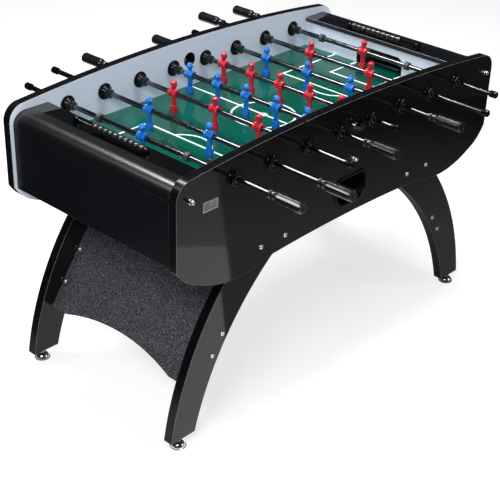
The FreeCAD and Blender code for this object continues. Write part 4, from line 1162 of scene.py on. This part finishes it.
floorFinish = Finish(
    "floorPaper", Roughness=0.75, Specular_IOR_Level=0.2, Emission_Color=(1, 1, 1),
    Emission_Strength=studio["floorGlow"],
)
floorFinish.set("Base Color", floorFinish.mixed(
    floorFinish.noise(3, 2), studio["floorDark"], studio["floorLight"],
))
painted(floor, [floorFinish.material])
floor.visible_glossy = False

letGo()
bpy.ops.mesh.primitive_cylinder_add(
    vertices=96, radius=studio["wallRadius"], depth=studio["wallHigh"], end_fill_type="NOTHING",
)
wall = bpy.context.object
wall.name = "studioWall"
wallFinish = Finish(
    "wallPaper", Base_Color=(0, 0, 0), Specular_IOR_Level=0.0, Emission_Color=(1, 1, 1),
    Emission_Strength=1.0,
)
painted(wall, [wallFinish.material])
wall.visible_glossy = False
wall.visible_diffuse = False
wall.visible_shadow = False

for name, sheet in studio["cards"].items():
    cardMesh = bpy.data.meshes.new(name + "Card")
    cardMesh.from_pydata(
        [(across, ahead, studio["cardHeight"]) for across, ahead in sheet["outline"]], [],
        [list(range(len(sheet["outline"])))],
    )
    card = bpy.data.objects.new(name + "Card", cardMesh)
    bpy.context.collection.objects.link(card)
    card.rotation_euler = (0, 0, math.radians(studio["cardTurn"]))
    cardFinish = Finish(name + "CardWhite", Base_Color=(0, 0, 0), Specular_IOR_Level=0.0)
    near, far = sheet["glow"]
    cardFinish.set("Emission Strength", 1.0)
    # The card's glow is its painted reflection brightness, fading along X from the near to the far
    # value.
    cardFinish.set("Emission Color", cardFinish.mixed(
        cardFinish.between(cardFinish.axis("X"), studio["fadeFrom"], studio["fadeTo"]),
        (near, near, near), (far, far, far),
    ))
    painted(card, [cardFinish.material])
    card.visible_camera = False
    card.visible_diffuse = False
    card.visible_shadow = False

world = bpy.data.worlds.new("studioWorld")
bpy.context.scene.world = world
world.use_nodes = True
backdrop = world.node_tree.nodes["Background"]
backdrop.inputs["Color"].default_value = (*studio["worldColour"], 1)
backdrop.inputs["Strength"].default_value = studio["worldStrength"]

lamps = {
    "keyLamp": {"at": (-3.2, -1.4, 3.4), "to": (-0.2, 0.1, 0.8), "size": (1.6, 1.2), "power": 110},
    "topLamp": {"at": (0.3, -0.1, 4.2), "to": (0.0, 0.0, 0.8), "size": (0.9, 1.6), "power": 150},
    "rearLamp": {"at": (-0.4, 1.45, 3.3), "to": (-0.1, 0, 0.85), "size": (0.6, 0.75), "power": 52},
    "leftLamp": {"at": (-2.3, 1.6, 3.2), "to": (-0.2, -0.2, 0.8), "size": (0.9, 0.6), "power": 16},
    "sideLamp": {"at": (2.6, -4.0, 2.2), "to": (0.2, -0.3, 0.6), "size": (2.4, 1.6), "power": 35},
}
for name, lamp in lamps.items():
    letGo()
    bpy.ops.object.light_add(type="AREA", location=lamp["at"])
    light = bpy.context.object
    light.name = name
    light.data.shape = "RECTANGLE"
    light.data.size, light.data.size_y = lamp["size"]
    light.data.energy = lamp["power"]
    aim = Vector(lamp["to"]) - Vector(lamp["at"])
    light.rotation_euler = aim.to_track_quat("-Z", "Y").to_euler()

shot = {
    "azimuth": -47.638, "elevation": 29.558, "roll": 1.884, "at": (-2.6266, -2.3555, 2.2703),
    "lens": 84.58, "sensor": 36,
}
azimuth, elevation, roll = (math.radians(shot[name]) for name in ("azimuth", "elevation", "roll"))
back = Vector((math.cos(elevation) * math.sin(azimuth), -math.cos(elevation) * math.cos(azimuth),
               math.sin(elevation)))
right = (-back).cross(Vector((0, 0, 1))).normalized()
up = right.cross(-back)
across = math.cos(roll) * right + math.sin(roll) * up
upward = math.cos(roll) * up - math.sin(roll) * right
letGo()
bpy.ops.object.camera_add(location=shot["at"])
camera = bpy.context.object
camera.name = "studioCamera"
camera.rotation_euler = Matrix((across, upward, back)).transposed().to_euler()
camera.data.lens = shot["lens"]
camera.data.sensor_width = shot["sensor"]
bpy.context.scene.camera = camera
bpy.context.scene.view_settings.view_transform = "Standard"
print("studio ready")
